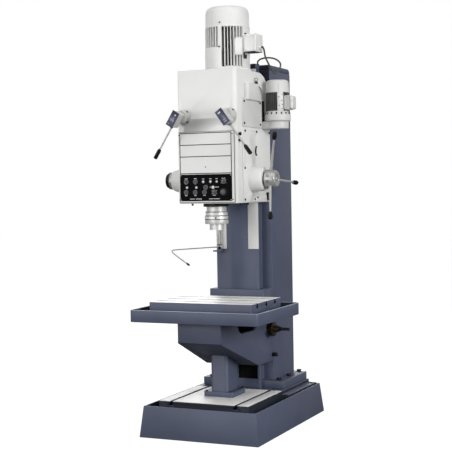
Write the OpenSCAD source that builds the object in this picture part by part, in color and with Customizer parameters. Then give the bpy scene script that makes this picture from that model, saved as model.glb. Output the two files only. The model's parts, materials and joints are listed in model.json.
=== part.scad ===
// Box column drilling machine: a heavy upright drill with a travelling head,
// a lifting work table and a T-slotted base. Front is -Y, top is +Z.

/* [Base] */
// Width of the base casting at the floor
base_w = 960; // [930:10:1020]
// Depth of the base casting at the floor
base_d = 1396; // [1388:4:1460]
// Height of the base rim
base_h = 233; // [200:1:250]
// How far each side leans in at the rim
base_lean = 26; // [10:1:40]
// Thickness of the base rim at its top
rim_t = 14; // [8:1:24]
// Depth of the drain gutter below the rim
gutter_depth = 60; // [30:1:90]
// Width of the T-slotted base plate
plate_w = 728; // [660:2:780]
// Height of the base plate's top above the floor
plate_h = 266; // [255:1:290]
// Distance of the base slots from the middle
base_slot_x = 262; // [200:1:300]
// Radius of the anchor holes
anchor_r = 13; // [8:0.5:16]

/* [Slots] */
// Width of the narrow part of a T-slot
slot_w = 22; // [14:1:26]
// Width of the wide part of a T-slot
slot_wide = 37; // [30:1:44]
// Depth of the narrow part of a T-slot
slot_neck = 20; // [14:1:24]
// Height of the wide part of a T-slot
slot_foot = 16; // [10:1:18]

/* [Column] */
// Width of the rear box
column_w = 470; // [440:2:490]
// Depth of the rear box
column_d = 446; // [420:1:452]
// Height of the column's top above the floor
column_top = 2798; // [2780:2:2840]
// Wall of the column casting
column_wall = 24; // [18:1:34]
// Width of the dovetail guide
guide_w = 358; // [340:2:370]
// Depth of the guide in front of the box
guide_d = 139; // [125:1:150]
// Front plane of the guide
guide_y = 76; // [70:1:84]
// Width of one ground way on the guide
way_w = 86; // [60:1:110]
// Lower end of the ground ways
way_low = 1362; // [1300:2:1420]
// Width of the column foot
foot_w = 700; // [640:2:760]
// Thickness of the column foot
foot_t = 60; // [45:1:75]
// Radius of the cap screws in the column foot
foot_bolt_r = 18; // [12:1:22]

/* [Head] */
// Width of the head casting
head_w = 478; // [440:2:500]
// Front plane of the head, measured from the column axis
head_front = -440; // [-460:1:-425]
// Height of the head's underside above the floor
head_low = 1727; // [1710:1:1750]
// Height of the head casting
head_h = 991; // [970:1:1010]
// Wall of the head casting
head_wall = 22; // [14:1:26]
// Radius of the head's front corners
head_round = 34; // [20:1:44]
// Distance from the spindle axis to the guide's front
throat = 375; // [368:1:382]

/* [Spindle] */
// Radius of the quill
quill_r = 75; // [70:0.5:78]
// How far the spindle nose ends below the head
nose_drop = 200; // [190:1:220]
// Radius of the spindle nose
nose_r = 54; // [45:1:58]
// Large end of the taper bore, Morse taper 6
taper_d = 63.35; // [60:0.05:66]
// Radius of the spindle's splined upper part
spline_r = 25; // [20:0.5:27]

/* [Feed] */
// Height of the feed shaft above the head's underside
feed_rise = 175; // [165:1:200]
// Module of the feed rack and pinion
feed_module = 4; // [4:1:4]
// Teeth on the feed pinion
feed_teeth = 29; // [27:1:30]
// Reach of the feed handles from the shaft
spoke_reach = 370; // [330:5:430]
// Radius of a feed handle rod
spoke_r = 9; // [6:0.5:11]

/* [Table] */
// Width of the coolant tray
tray_w = 1028; // [960:2:1080]
// Depth of the coolant tray
tray_d = 839; // [810:1:860]
// Height of the tray's underside above the floor
tray_low = 865; // [860:1:880]
// Height of the tray
tray_h = 90; // [75:1:95]
// Width of the slotted table
table_w = 824; // [760:2:860]
// Depth of the slotted table
table_d = 578; // [540:2:600]
// Height of the table's top above the floor
table_top = 1004; // [998:1:1020]
// Wall of the knee casting
knee_wall = 24; // [16:1:30]
// Radius of the lift screw
screw_r = 22; // [16:1:23]
// Width of the lift post
post_w = 142; // [130:2:150]
// Depth of the lift post
post_d = 206; // [190:2:214]

/* [Motors] */
// Radius of the main motor over its fins
motor_r = 170; // [150:1:178]
// Height of the main motor's finned body
motor_body_h = 307; // [280:1:330]
// Height of the main motor's fan cowl
cowl_h = 163; // [140:1:180]
// Radius of the side motor over its fins
pump_r = 94; // [80:1:100]
// Diameter of the motor cable
cable_d = 13; // [9:1:15]

/* [Controls] */
// Radius of a push button
button_r = 13; // [9:0.5:15]
// Travel of a push button
button_travel = 4; // [2:0.5:5]
// Length of a speed lever from its shaft to the grip's end
lever_len = 360; // [300:5:370]
// Radius of a speed lever's rod
lever_rod_r = 7; // [5:0.5:9]
// Radius of a speed lever's grip
grip_r = 14.5; // [11:0.5:17]

/* [Fits] */
// Clearance of a sliding way
way_gap = 0.3; // [0.2:0.05:0.5]
// Radial clearance of a shaft in its bore
run_gap = 0.05; // [0.02:0.01:0.1]

/* [Hidden] */
$fn = 64;
navy = "#50566a";
white = "#e8e8e6";
steel = "#bfc0bd";
dark_steel = "#7d7f80";
black = "#1b1b1d";
bronze = "#a8814a";
label_blue = "#3f465c";

box_y = guide_y + guide_d;
column_back = box_y + column_d;
seat_z = plate_h;
feed_z = head_low + feed_rise;
nose_low = head_low - nose_drop;
foot_top = seat_z + foot_t;
cap_h = 40;
way_t = 8;
spindle_y = guide_y - throat;
head_back = box_y - 10;
head_top = head_low + head_h;
head_d = head_back - head_front;
flank_y = guide_y + 28;
root_y = guide_y + 80;
root_x = guide_w / 2 - 30;

// The guide's dovetail section in plan, grown by a clearance
function guide_outline(gap) = [
    [-guide_w / 2 - gap, guide_y - gap], [guide_w / 2 + gap, guide_y - gap],
    [guide_w / 2 + gap, flank_y + gap / 2], [root_x + gap, root_y],
    [root_x + gap, box_y + 1], [-root_x - gap, box_y + 1],
    [-root_x - gap, root_y], [-guide_w / 2 - gap, flank_y + gap / 2]];

// A flat bar with round corners, centred on X and Y
module round_slab(w, d, h, r) {
    translate([-w / 2 + r, -d / 2, 0]) cube([w - 2 * r, d, h]);
    translate([-w / 2, -d / 2 + r, 0]) cube([w, d - 2 * r, h]);
    for (x = [-1, 1], y = [-1, 1])
        translate([x * (w / 2 - r), y * (d / 2 - r), 0]) cylinder(h = h, r = r);
}

// A cylinder along X from x0 to x1, on the axis at y and z
module rod_x(x0, x1, r, y, z) {
    translate([x0, y, z]) rotate([0, 90, 0]) cylinder(h = x1 - x0, r = r);
}

// A cylinder along Y from y0 to y1, on the axis at x and z
module rod_y(y0, y1, r, x, z) {
    translate([x, y0, z]) rotate([-90, 0, 0]) cylinder(h = y1 - y0, r = r);
}

// A cylinder along Z from z0 to z1, on the axis at x and y
module rod_z(z0, z1, r, x, y) {
    translate([x, y, z0]) cylinder(h = z1 - z0, r = r);
}

// A straight-flanked gear, one tooth pointing along +X, thinner than its gap
module gear(teeth, m, width) {
    pitch = 360 / teeth;
    tip = teeth * m / 2 + 0.85 * m;
    root = teeth * m / 2 - 1.2 * m;
    linear_extrude(width) polygon([for (i = [0 : teeth - 1])
        for (p = [[root, -0.33], [tip, -0.13], [tip, 0.13], [root, 0.33]])
            p[0] * [cos((i + p[1]) * pitch), sin((i + p[1]) * pitch)]]);
}

// The negative of a T-slot along X, its mouth at z = 0
module slot_x(length) {
    translate([-length / 2, -slot_w / 2, -slot_neck]) cube([length, slot_w, slot_neck + 1]);
    translate([-length / 2, -slot_wide / 2, -slot_neck - slot_foot])
        cube([length, slot_wide, slot_foot + 0.01]);
}

plate_front = -597;
platform_front = 63;
platform_side = 30;
base_slot_back = 120;
rib = 16;
base_floor = 22;
cell_w = (base_w - 2 * base_lean - 5 * 2 * rib) / 4;
cell_d = (base_d - 2 * base_lean - 7 * 2 * rib) / 6;
anchor_x = plate_w / 2 + (base_w / 2 - base_lean - rim_t - plate_w / 2) / 2;
anchor_y = base_d / 2 - 92;
post_y = spindle_y + 92;
pit_low = 100;

// Base block whose four sides lean in, cut from two crossed profiles
module leaning_block() {
    intersection() {
        translate([0, base_d / 2, 0]) rotate([90, 0, 0]) linear_extrude(base_d)
            polygon([[-base_w / 2, 0], [base_w / 2, 0],
                     [base_w / 2 - base_lean, base_h], [base_lean - base_w / 2, base_h]]);
        translate([-base_w / 2, 0, 0]) rotate([90, 0, 90]) linear_extrude(base_w)
            polygon([[-base_d / 2, 0], [base_d / 2, 0],
                     [base_d / 2 - base_lean, base_h], [base_lean - base_d / 2, base_h]]);
    }
}

module base() color(navy) difference() {
    union() {
        difference() {
            leaning_block();
            translate([0, 0, base_h - gutter_depth])
                round_slab(base_w - 2 * base_lean - 2 * rim_t, base_d - 2 * base_lean - 2 * rim_t,
                           gutter_depth + 1, 20);
        }
        translate([-plate_w / 2, plate_front, base_h - gutter_depth - 1])
            cube([plate_w, column_back - plate_front + 1, plate_h - base_h + gutter_depth + 1]);
        translate([-base_w / 2 + base_lean + platform_side, platform_front, base_h - gutter_depth - 1])
            cube([base_w - 2 * base_lean - 2 * platform_side,
                  base_d / 2 - base_lean - platform_front - rim_t / 2,
                  gutter_depth + 7]);
    }
    for (x = [-base_slot_x, base_slot_x])
        translate([x, (plate_front + base_slot_back) / 2, plate_h]) rotate([0, 0, 90])
            slot_x(base_slot_back - plate_front + 20);
    for (x = [-1, 1], y = [-1, 1])
        rod_z(-1, plate_h + 1, anchor_r, x * anchor_x, y * anchor_y);
    rod_z(pit_low, plate_h + 1, screw_r + 14, 0, post_y);
    base_cells();
}

// Open cells in the casting's underside, with bosses left for the bolts and the screw's pit
module base_cells() difference() {
    for (i = [0 : 3], j = [0 : 5])
        translate([(i - 2) * (cell_w + 2 * rib) + rib, (j - 3) * (cell_d + 2 * rib) + rib, -1])
            cube([cell_w, cell_d, base_h - gutter_depth - base_floor + 1]);
    for (x = [-anchor_x, anchor_x], y = [-anchor_y, anchor_y])
        rod_z(-2, base_h, anchor_r + 22, x, y);
    rod_z(-2, base_h, screw_r + 40, 0, post_y);
}

foot_front = 141;
foot_back = column_back;
foot_bolt_x = foot_w / 2 - 62;
bolt_rows = [foot_front + 45, (foot_front + foot_back) / 2, foot_back - 30];

module column() color(navy) difference() {
    union() {
        translate([0, (foot_front + foot_back) / 2, seat_z])
            round_slab(foot_w, foot_back - foot_front, foot_t, 22);
        translate([-column_w / 2, box_y, seat_z]) cube([column_w, column_d, column_top - cap_h - seat_z]);
        translate([0, 0, seat_z]) linear_extrude(column_top - cap_h - seat_z) polygon(guide_outline(0));
    }
    translate([-column_w / 2 + column_wall, box_y + column_wall, seat_z + foot_t])
        cube([column_w - 2 * column_wall, column_d - 2 * column_wall, column_top]);
    translate([-root_x + 40, guide_y + 34, seat_z + foot_t])
        cube([2 * root_x - 80, guide_d, column_top]);
    for (x = [-1, 1]) for (y = bolt_rows) {
        rod_z(seat_z - 1, column_top, foot_bolt_r * 0.6, x * foot_bolt_x, y);
    }
    for (x = [-1, 1])
        translate([x > 0 ? guide_w / 2 - way_w : -guide_w / 2, guide_y - 1, way_low])
            cube([way_w, 1 + way_t, column_top]);
}

module way_strips() color(steel)
    for (x = [-1, 1])
        translate([x > 0 ? guide_w / 2 - way_w : -guide_w / 2, guide_y, way_low])
            cube([way_w, way_t, column_top - cap_h - way_low]);

module column_cap() {
    color(navy) cap_block();
    color("#8a8a88") rod_z(column_top - 6, column_top + gland_len, gland_r, cable_in_x, cable_in_y);
}

module cap_block() intersection() {
    translate([0, 0, column_top - cap_h]) union() {
        translate([-column_w / 2, box_y, 0]) cube([column_w, column_d, cap_h]);
        linear_extrude(cap_h) polygon(guide_outline(0));
    }
    translate([-column_w / 2, 0, 0]) rotate([90, 0, 90]) linear_extrude(column_w) union() {
        translate([guide_y, 0]) square([column_back - guide_y - cap_h, column_top]);
        translate([guide_y, 0]) square([column_back - guide_y, column_top - cap_h]);
        translate([column_back - cap_h, column_top - cap_h]) circle(cap_h);
    }
}

module foot_bolts() color(black) {
    for (x = [-1, 1]) for (y = bolt_rows) {
        rod_z(foot_top, foot_top + foot_bolt_r, foot_bolt_r, x * foot_bolt_x, y);
        rod_z(seat_z, foot_top + 1, foot_bolt_r * 0.6 - run_gap, x * foot_bolt_x, y);
    }
    post_bolts();
}

// Places in the lift
post_top = 585;
post_foot_w = 242;
post_foot_d = 252;
post_foot_t = 38;
post_bolt_r = 10;
nut_r = 44;
nut_flange_r = 56;
nut_flange_t = 6;
nut_h = 80;
crank_z = tray_low - 125;
crank_y = 110;
cross_y = 34;
shaft_r = 12;
crank_r = 14;
knee_front = -639;
knee_front_x = 176;
knee_back_x = 240;
knee_front_low = 706;
knee_back_low = 475;
knee_bend_y = -60;
saddle_front = 40;
saddle_top = tray_low + 185;
cavity_back = 18;
gear_x0 = 191;
gear_w = 20;
crank_teeth = 28;
cross_teeth = 48;
journal_r = 18;
ceiling = tray_low - knee_wall;
screw_low = 330;

module lift_post() color(navy) difference() {
    union() {
        translate([0, post_y, seat_z]) round_slab(post_w, post_d, post_top - seat_z, 28);
        translate([0, post_y, seat_z]) round_slab(post_foot_w, post_foot_d, post_foot_t, 18);
    }
    rod_z(seat_z - 1, post_top + 1, screw_r + 14, 0, post_y);
    rod_z(post_top - nut_h, post_top + 1, nut_r + run_gap, 0, post_y);
    for (x = [-1, 1], y = [-1, 1])
        rod_z(seat_z - 1, seat_z + post_foot_t + 1, post_bolt_r * 0.6,
              x * (post_foot_w / 2 - 22), post_y + y * (post_foot_d / 2 - 12));
}

module post_bolts()
    for (x = [-1, 1], y = [-1, 1]) {
        rod_z(seat_z + post_foot_t, seat_z + post_foot_t + post_bolt_r, post_bolt_r,
              x * (post_foot_w / 2 - 22), post_y + y * (post_foot_d / 2 - 12));
        rod_z(seat_z, seat_z + post_foot_t + 1, post_bolt_r * 0.6 - run_gap,
              x * (post_foot_w / 2 - 22), post_y + y * (post_foot_d / 2 - 12));
    }

module lift_nut() color(bronze) difference() {
    union() {
        rod_z(post_top - nut_h, post_top, nut_r, 0, post_y);
        rod_z(post_top, post_top + nut_flange_t, nut_flange_r, 0, post_y);
    }
    rod_z(post_top - nut_h - 1, post_top + nut_flange_t + 1, screw_r + run_gap, 0, post_y);
}

// A plain bevel blank along +Z, its pitch cone's tip at the origin
module bevel(near, far) translate([0, 0, near])
    cylinder(h = far - near, r1 = near - 0.4, r2 = far - 0.4);

module lift_screw() color(steel) {
    rod_z(screw_low, ceiling - 50, screw_r, 0, post_y);
    rod_z(ceiling - 50, ceiling - 2, journal_r, 0, post_y);
    translate([0, post_y, crank_z]) bevel(26, 40);
}

module long_shaft() color(steel) {
    rod_y(post_y + 26, cross_y - 20, shaft_r, 0, crank_z);
    translate([0, post_y, crank_z]) rotate([-90, 0, 0]) bevel(26, 40);
    translate([0, cross_y, crank_z]) rotate([90, 0, 0]) bevel(20, 32);
}

module cross_shaft() color(steel) {
    rod_x(20, gear_x0 + gear_w, shaft_r, cross_y, crank_z);
    translate([0, cross_y, crank_z]) rotate([0, 90, 0]) bevel(20, 32);
    translate([gear_x0, cross_y, crank_z]) rotate([90, 0, 90]) gear(cross_teeth, 2, gear_w);
}

bearing_x = 242;
bearing_r = 57;
crank_hub_x = 288;
crank_square = 22;
crank_end = 412;

module crank_shaft() color(dark_steel) {
    rod_x(gear_x0, crank_hub_x + 64, crank_r, crank_y, crank_z);
    translate([gear_x0, crank_y, crank_z]) rotate([90, 0, 90])
        rotate([0, 0, 180 + 180 / crank_teeth]) gear(crank_teeth, 2, gear_w);
    rod_x(crank_hub_x + 36, crank_hub_x + 44, crank_r + 8, crank_y, crank_z);
    translate([crank_hub_x + 60, crank_y - crank_square / 2, crank_z - crank_square / 2])
        cube([crank_end - crank_hub_x - 60, crank_square, crank_square]);
}

module crank_bearing() color(black) difference() {
    union() {
        rod_x(bearing_x, crank_hub_x, bearing_r, crank_y, crank_z);
        rod_x(crank_hub_x - 6, crank_hub_x, bearing_r + 3, crank_y, crank_z);
        rod_x(crank_hub_x, crank_hub_x + 34, 27, crank_y, crank_z);
    }
    rod_x(bearing_x - 1, crank_hub_x + 40, crank_r + run_gap, crank_y, crank_z);
}

// Height of the knee's sloping underside at a given y
function under(y) = knee_front_low
    - max(0, min(1, (y - knee_front) / (knee_bend_y - knee_front))) * (knee_front_low - knee_back_low);

module knee_block(inset, back, top) {
    front = knee_front + inset;
    lift = inset * 1.08;
    intersection() {
        translate([0, 0, knee_back_low - 1]) linear_extrude(saddle_top)
            polygon([[-knee_front_x + inset, front], [knee_front_x - inset, front],
                     [knee_back_x - inset, head_back], [inset - knee_back_x, head_back]]);
        translate([-knee_back_x, 0, 0]) rotate([90, 0, 90]) linear_extrude(2 * knee_back_x)
            polygon([[front, tray_low - inset], [front, under(front) + lift],
                     [knee_bend_y, knee_back_low + lift], [back, knee_back_low + lift],
                     [back, top], [min(back, saddle_front), top],
                     [min(back, saddle_front), tray_low - inset]]);
    }
}

window_y = -220;
window_half = 85;
window_r = 75;
window_z = tray_low - 38;
clamp_y = 188;
clamp_z = 527;
clamp_r = 8;

module knee() color(navy) difference() {
    union() {
        difference() {
            knee_block(0, head_back, saddle_top);
            knee_block(knee_wall, cavity_back, tray_low - knee_wall);
            translate([-post_w / 2 - 8, post_y - post_d / 2 - 8, knee_back_low - 10])
                cube([post_w + 16, post_d + 16, 200]);
        }
        rod_z(ceiling - 46, ceiling + 1, 46, 0, post_y);
        for (y = [-128, -44])
            translate([-30, y, crank_z - 24]) cube([60, 24, ceiling + 1 - crank_z + 24]);
        rod_x(knee_back_x - 26, bearing_x, bearing_r + 5, crank_y, crank_z);
    }
    translate([0, 0, knee_back_low - 10]) linear_extrude(saddle_top) polygon(guide_outline(way_gap));
    rod_z(ceiling - 50, ceiling, journal_r + run_gap, 0, post_y);
    rod_y(-140, cavity_back + 1, shaft_r + run_gap, 0, crank_z);
    rod_x(-2, 42, 36, cross_y, crank_z);
    rod_x(40, gear_x0, shaft_r + run_gap, cross_y, crank_z);
    rod_x(gear_x0 - 2, gear_x0 + gear_w + 2, cross_teeth + 4, cross_y, crank_z);
    rod_x(gear_x0 - 2, gear_x0 + gear_w + 2, crank_teeth + 4, crank_y, crank_z);
    rod_x(gear_x0, bearing_x + 1, crank_r + run_gap, crank_y, crank_z);
    for (y = [-window_half, window_half])
        rod_x(knee_front_x - knee_wall - 10, knee_back_x, window_r, window_y + y, window_z);
    translate([knee_front_x - knee_wall - 10, window_y - window_half, window_z - window_r])
        cube([80, 2 * window_half, 2 * window_r]);
    rod_x(knee_back_x - 45, knee_back_x + 1, clamp_r + run_gap, clamp_y, clamp_z);
}

module knee_clamp() color(black) {
    rod_x(knee_back_x - 42, knee_back_x + 16, clamp_r, clamp_y, clamp_z);
    rod_x(knee_back_x + 3, knee_back_x + 30, clamp_r + 8, clamp_y, clamp_z);
    translate([knee_back_x + 30, clamp_y, clamp_z]) sphere(clamp_r + 8);
}

tray_front = -758;
tray_wall = 12;
tray_floor = 20;
tray_y = tray_front + tray_d / 2;
table_front = -633;
table_y = table_front + table_d / 2;
table_slot_pitch = 170;
table_floor = tray_low + tray_floor;

module coolant_tray() color(navy) difference() {
    translate([0, tray_y, tray_low]) round_slab(tray_w, tray_d, tray_h, 34);
    difference() {
        translate([0, tray_y, table_floor])
            round_slab(tray_w - 2 * tray_wall, tray_d - 2 * tray_wall, tray_h, 24);
        tray_notch(tray_wall);
    }
    tray_notch(0);
}

// The room that the tray leaves round the knee's saddle
module tray_notch(grow)
    translate([-knee_back_x - 4 - grow, saddle_front - 4 - grow, tray_low - 1])
        cube([2 * (knee_back_x + 4 + grow), 200, tray_h + 2]);

module work_table() color(steel) difference() {
    translate([0, table_y, table_floor]) round_slab(table_w, table_d, table_top - table_floor, 12);
    for (i = [-1, 0, 1])
        translate([0, table_y + i * table_slot_pitch, table_top]) slot_x(table_w + 2);
    for (i = [-1, 0, 1], j = [-1, 1])
        translate([i * table_w / 3 - table_w / 8, table_y + j * table_d / 4 - table_d / 5, table_floor - 1])
            cube([table_w / 4, table_d / 2.5, table_top - table_floor - slot_neck - slot_foot - 24]);
}

// Places in the head
head_arc = 217;
head_round_left = 8;
cavity_rear = guide_y - 30;
tube_r = 98;
tube_top = head_low + 508;
shelf_z = head_low + 613;
shelf_t = 24;
sleeve_r = 45;
sleeve_top = shelf_z + 140;
motor_x = 30;
motor_y = spindle_y + 187;
gear_m = 5;
spindle_teeth = 42;
lay_low_teeth = 14;
lay_high_teeth = 38;
motor_teeth = 12;
low_mesh = gear_m * (spindle_teeth + lay_low_teeth) / 2;
high_mesh = gear_m * (lay_high_teeth + motor_teeth) / 2;
// The layshaft's place, in mesh with the spindle's gear and the motor's pinion
motor_reach = norm([motor_x, motor_y - spindle_y]);
reach_line = [motor_x, motor_y - spindle_y] / motor_reach;
lay_a = (low_mesh * low_mesh - high_mesh * high_mesh + motor_reach * motor_reach) / (2 * motor_reach);
lay_h = sqrt(low_mesh * low_mesh - lay_a * lay_a);
lay_x = lay_a * reach_line[0] + lay_h * reach_line[1];
lay_y = spindle_y + lay_a * reach_line[1] - lay_h * reach_line[0];
lay_r = 15;
low_gear_z = shelf_z + shelf_t + 16;
high_gear_z = head_top - 158;
gear_thick = 30;
motor_shaft_r = 19;
feed_r = feed_module * feed_teeth / 2;
feed_y = spindle_y + quill_r - feed_module + feed_r;
feed_shaft_r = 18;
boss_r = 91;
boss_end = 347;
dome_end = -412;
bush_wall = 22;

// The head's outline seen from the side, its rear top corner a wide arc
module head_side(inset) {
    r = head_arc - inset;
    intersection() {
        translate([head_front + inset, head_low + inset])
            square([head_d - 2 * inset, head_h - 2 * inset]);
        union() {
            translate([head_front, head_low]) square([head_d - head_arc, head_h]);
            translate([head_front, head_low]) square([head_d, head_h - head_arc]);
            translate([head_back - head_arc, head_top - head_arc]) circle(r);
        }
    }
}

module head_block() difference() {
    translate([-head_w / 2, 0, 0]) rotate([90, 0, 90]) linear_extrude(head_w) head_side(0);
    head_corner(head_w / 2, head_round);
    mirror([1, 0, 0]) head_corner(head_w / 2, head_round_left);
}

// What a round front corner takes away from the head
module head_corner(x, r) difference() {
    translate([x - r, head_front - 1, head_low - 1]) cube([r + 1, r + 1, head_h + 2]);
    rod_z(head_low - 2, head_top + 2, r, x - r, head_front + r);
}

module head_casing() color(white) difference() {
    union() {
        difference() {
            head_block();
            translate([-head_w / 2 + head_wall, head_front + head_wall, head_low + head_wall])
                cube([head_w - 2 * head_wall, cavity_rear - head_front - head_wall, head_h - 2 * head_wall]);
        }
        rod_z(head_low + 1, tube_top, tube_r, 0, spindle_y);
        translate([-head_w / 2 + 5, head_front + 5, shelf_z])
            cube([head_w - 10, cavity_rear - head_front, shelf_t]);
        rod_z(head_top - head_wall - 56, head_top - head_wall + 1, lay_r + 25, lay_x, lay_y);
        rod_x(head_w / 2 - 5, boss_end, boss_r, feed_y, feed_z);
        dial_dome();
    }
    rod_z(head_low - 1, tube_top + 1, quill_r + run_gap, 0, spindle_y);
    translate([-17, spindle_y + quill_r - 5, feed_z - feed_r - 8]) cube([34, 40, 2 * feed_r + 16]);
    rod_z(shelf_z - 1, shelf_z + shelf_t + 1, sleeve_r + run_gap, 0, spindle_y);
    rod_z(shelf_z - 1, shelf_z + shelf_t + 1, lay_r + run_gap, lay_x, lay_y);
    rod_z(head_top - head_wall - 57, head_top - head_wall + 1, lay_r + run_gap, lay_x, lay_y);
    rod_z(head_top - head_wall - 1, head_top + 1, 62, motor_x, motor_y);
    rod_x(-600, 600, feed_shaft_r + run_gap, feed_y, feed_z);
    rod_x(head_w / 2 - head_wall - 1, boss_end - bush_wall, 72, feed_y, feed_z);
    rod_x(dome_end + bush_wall, head_wall - head_w / 2 + 1, 60, feed_y, feed_z);
    translate([0, 0, head_low - 1]) linear_extrude(head_h + 2) polygon(guide_outline(way_gap));
    rod_z(head_low - 1, pipe_top + pipe_room, pipe_r + 1.5, pipe_x, pipe_y);
    for (x = [-1, 1])
        rod_y(head_front - 1, head_front + head_wall + 1, shift_r + run_gap, x * shift_x, shift_z);
    rod_x(head_w / 2 - 45, head_w / 2 + 1, clamp_r + run_gap, head_clamp_y, head_clamp_z);
}

// The domed housing that carries the depth dial on the left
module dial_dome() {
    flat = 5 - head_w / 2 - dome_end;
    translate([5 - head_w / 2, feed_y, feed_z]) rotate([0, -90, 0]) rotate_extrude()
        polygon(concat([[0, 0], [97, 0]],
            [for (i = [0 : 8]) [dial_r + 5 + 25 * cos(i * 11.25), 45 + (flat - 45) * sin(i * 11.25)]],
            [[0, flat]]));
}

module quill_collar() color(black) difference() {
    rod_z(head_low - 25, head_low, tube_r, 0, spindle_y);
    rod_z(head_low - 26, head_low + 1, quill_r + run_gap, 0, spindle_y);
}

quill_top = tube_top - 20;
quill_low = head_low - 61;
nose_top = quill_low - 93;
rack_pitch = PI * feed_module;
rack_line = feed_y - feed_r;
rack_deep = 1.25 * feed_module;
bearing_out = 66;
bearing_in = 46;
quill_travel = 250;

// Half the width of a rack gap at a height over the pitch line
function rack_half(h) = 0.255 * rack_pitch + h * tan(20);

module quill() color(steel) difference() {
    rod_z(quill_low, quill_top, quill_r, 0, spindle_y);
    rod_z(quill_low - 1, quill_low + 120, bearing_out, 0, spindle_y);
    rod_z(quill_top - 60, quill_top + 1, bearing_out - 14, 0, spindle_y);
    rod_z(quill_low, quill_top, bearing_in - 6, 0, spindle_y);
    for (i = [-2 : ceil(quill_travel / rack_pitch) + 2])
        translate([-60, rack_line, feed_z + i * rack_pitch]) rotate([90, 0, 90]) linear_extrude(120)
            polygon([[-rack_deep, -rack_half(-rack_deep)], [rack_deep, -rack_half(rack_deep)],
                     [rack_deep, rack_half(rack_deep)], [-rack_deep, rack_half(-rack_deep)]]);
}

module nose_ring() color(steel) difference() {
    union() {
        rod_z(quill_low - 30, quill_low, quill_r + 8, 0, spindle_y);
        rod_z(nose_top, quill_low - 30, quill_r + 13, 0, spindle_y);
    }
    rod_z(nose_top - 1, quill_low + 1, nose_r + 1, 0, spindle_y);
}

module spindle_bearings() color(dark_steel)
    for (z = [quill_low + 10, quill_low + 65, quill_top - 50])
        difference() {
            high = z > quill_top - 100;
            rod_z(z, z + 40, (high ? bearing_out - 14 : bearing_out) - run_gap, 0, spindle_y);
            rod_z(z - 1, z + 41, (high ? spline_r + 10 : bearing_in) + run_gap, 0, spindle_y);
        }

taper_len = 218;
spindle_top = head_top - head_wall - 16;

module spindle() color(steel) difference() {
    union() {
        rod_z(nose_low, nose_top + 60, nose_r, 0, spindle_y);
        rod_z(nose_top, quill_low + 120, bearing_in, 0, spindle_y);
        rod_z(quill_low + 119, quill_top + 10, spline_r + 10, 0, spindle_y);
        rod_z(quill_top, spindle_top, spline_r, 0, spindle_y);
    }
    translate([0, spindle_y, nose_low - 1])
        cylinder(h = taper_len, r1 = taper_d / 2, r2 = taper_d / 2 - taper_len * 0.026);
    translate([-nose_r - 6, spindle_y - 9, nose_low + taper_len - 44]) cube([2 * nose_r + 12, 18, 40]);
}

module drive_sleeve() color(dark_steel) difference() {
    union() {
        rod_z(shelf_z - 8, sleeve_top, sleeve_r, 0, spindle_y);
        translate([0, spindle_y, low_gear_z]) rotate([0, 0, atan2(lay_y - spindle_y, lay_x)])
            gear(spindle_teeth, gear_m, gear_thick);
    }
    rod_z(shelf_z - 9, sleeve_top + 1, spline_r + run_gap, 0, spindle_y);
}

module layshaft() color(dark_steel) {
    rod_z(shelf_z, head_top - head_wall - 4, lay_r, lay_x, lay_y);
    translate([lay_x, lay_y, low_gear_z])
        rotate([0, 0, atan2(lay_y - spindle_y, lay_x) + 180 + 180 / lay_low_teeth])
        gear(lay_low_teeth, gear_m, gear_thick);
    translate([lay_x, lay_y, high_gear_z]) rotate([0, 0, atan2(motor_y - lay_y, motor_x - lay_x)])
        gear(lay_high_teeth, gear_m, gear_thick);
}

module feed_shaft() color(dark_steel) {
    rod_x(dial_end + 12, boss_end + 50, feed_shaft_r, feed_y, feed_z);
    translate([-14, feed_y, feed_z]) rotate([90, 0, 90]) rotate([0, 0, 180])
        gear(feed_teeth, feed_module, 28);
}

hub_r = 74;
hub_end = 445;
dial_r = 67;
dial_end = -475;
spoke_angles = [-5, 105, 235];
spoke_lean = 13;
spoke_x = 385;

module feed_hub() color(steel) difference() {
    union() {
        rod_x(boss_end + 4, boss_end + 14, hub_r - 12, feed_y, feed_z);
        rod_x(boss_end + 14, boss_end + 58, hub_r, feed_y, feed_z);
        rod_x(boss_end + 57, boss_end + 62, hub_r - 6, feed_y, feed_z);
        translate([boss_end + 62, feed_y, feed_z]) rotate([0, 90, 0])
            cylinder(h = hub_end - boss_end - 62, r1 = hub_r - 2, r2 = hub_r - 22);
    }
    rod_x(boss_end, boss_end + 50, feed_shaft_r + run_gap, feed_y, feed_z);
    for (a = spoke_angles) spoke_seat(a);
}

// The blind hole in the hub that a feed handle screws into
module spoke_seat(a)
    translate([spoke_x, feed_y, feed_z]) rotate([a, 0, 0]) rotate([0, 0, -spoke_lean])
        rod_y(hub_r - 26, hub_r + 40, spoke_r + run_gap, 0, 0);

module feed_spokes() color(steel)
    for (a = spoke_angles)
        translate([spoke_x, feed_y, feed_z]) rotate([a, 0, 0]) rotate([0, 0, -spoke_lean])
            rod_y(hub_r - 25, spoke_reach - 40, spoke_r, 0, 0);

module feed_knobs() color(black)
    for (a = spoke_angles)
        translate([spoke_x, feed_y, feed_z]) rotate([a, 0, 0]) rotate([0, 0, -spoke_lean])
            translate([0, spoke_reach - 62, 0]) rotate([-90, 0, 0]) rotate_extrude()
                polygon([[spoke_r, 0], [13, 0], [17, 18], [18, 40], [15, 54], [8, 61], [0, 62], [0, 23],
                         [spoke_r, 23]]);

module feed_dial() color(dark_steel) difference() {
    union() {
        rod_x(dial_end + 24, dome_end - 3, dial_r, feed_y, feed_z);
        rod_x(dial_end + 6, dial_end + 25, dial_r - 8, feed_y, feed_z);
        rod_x(dial_end, dial_end + 7, dial_r - 30, feed_y, feed_z);
    }
    rod_x(dial_end + 11, dome_end, feed_shaft_r + run_gap, feed_y, feed_z);
}

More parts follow.
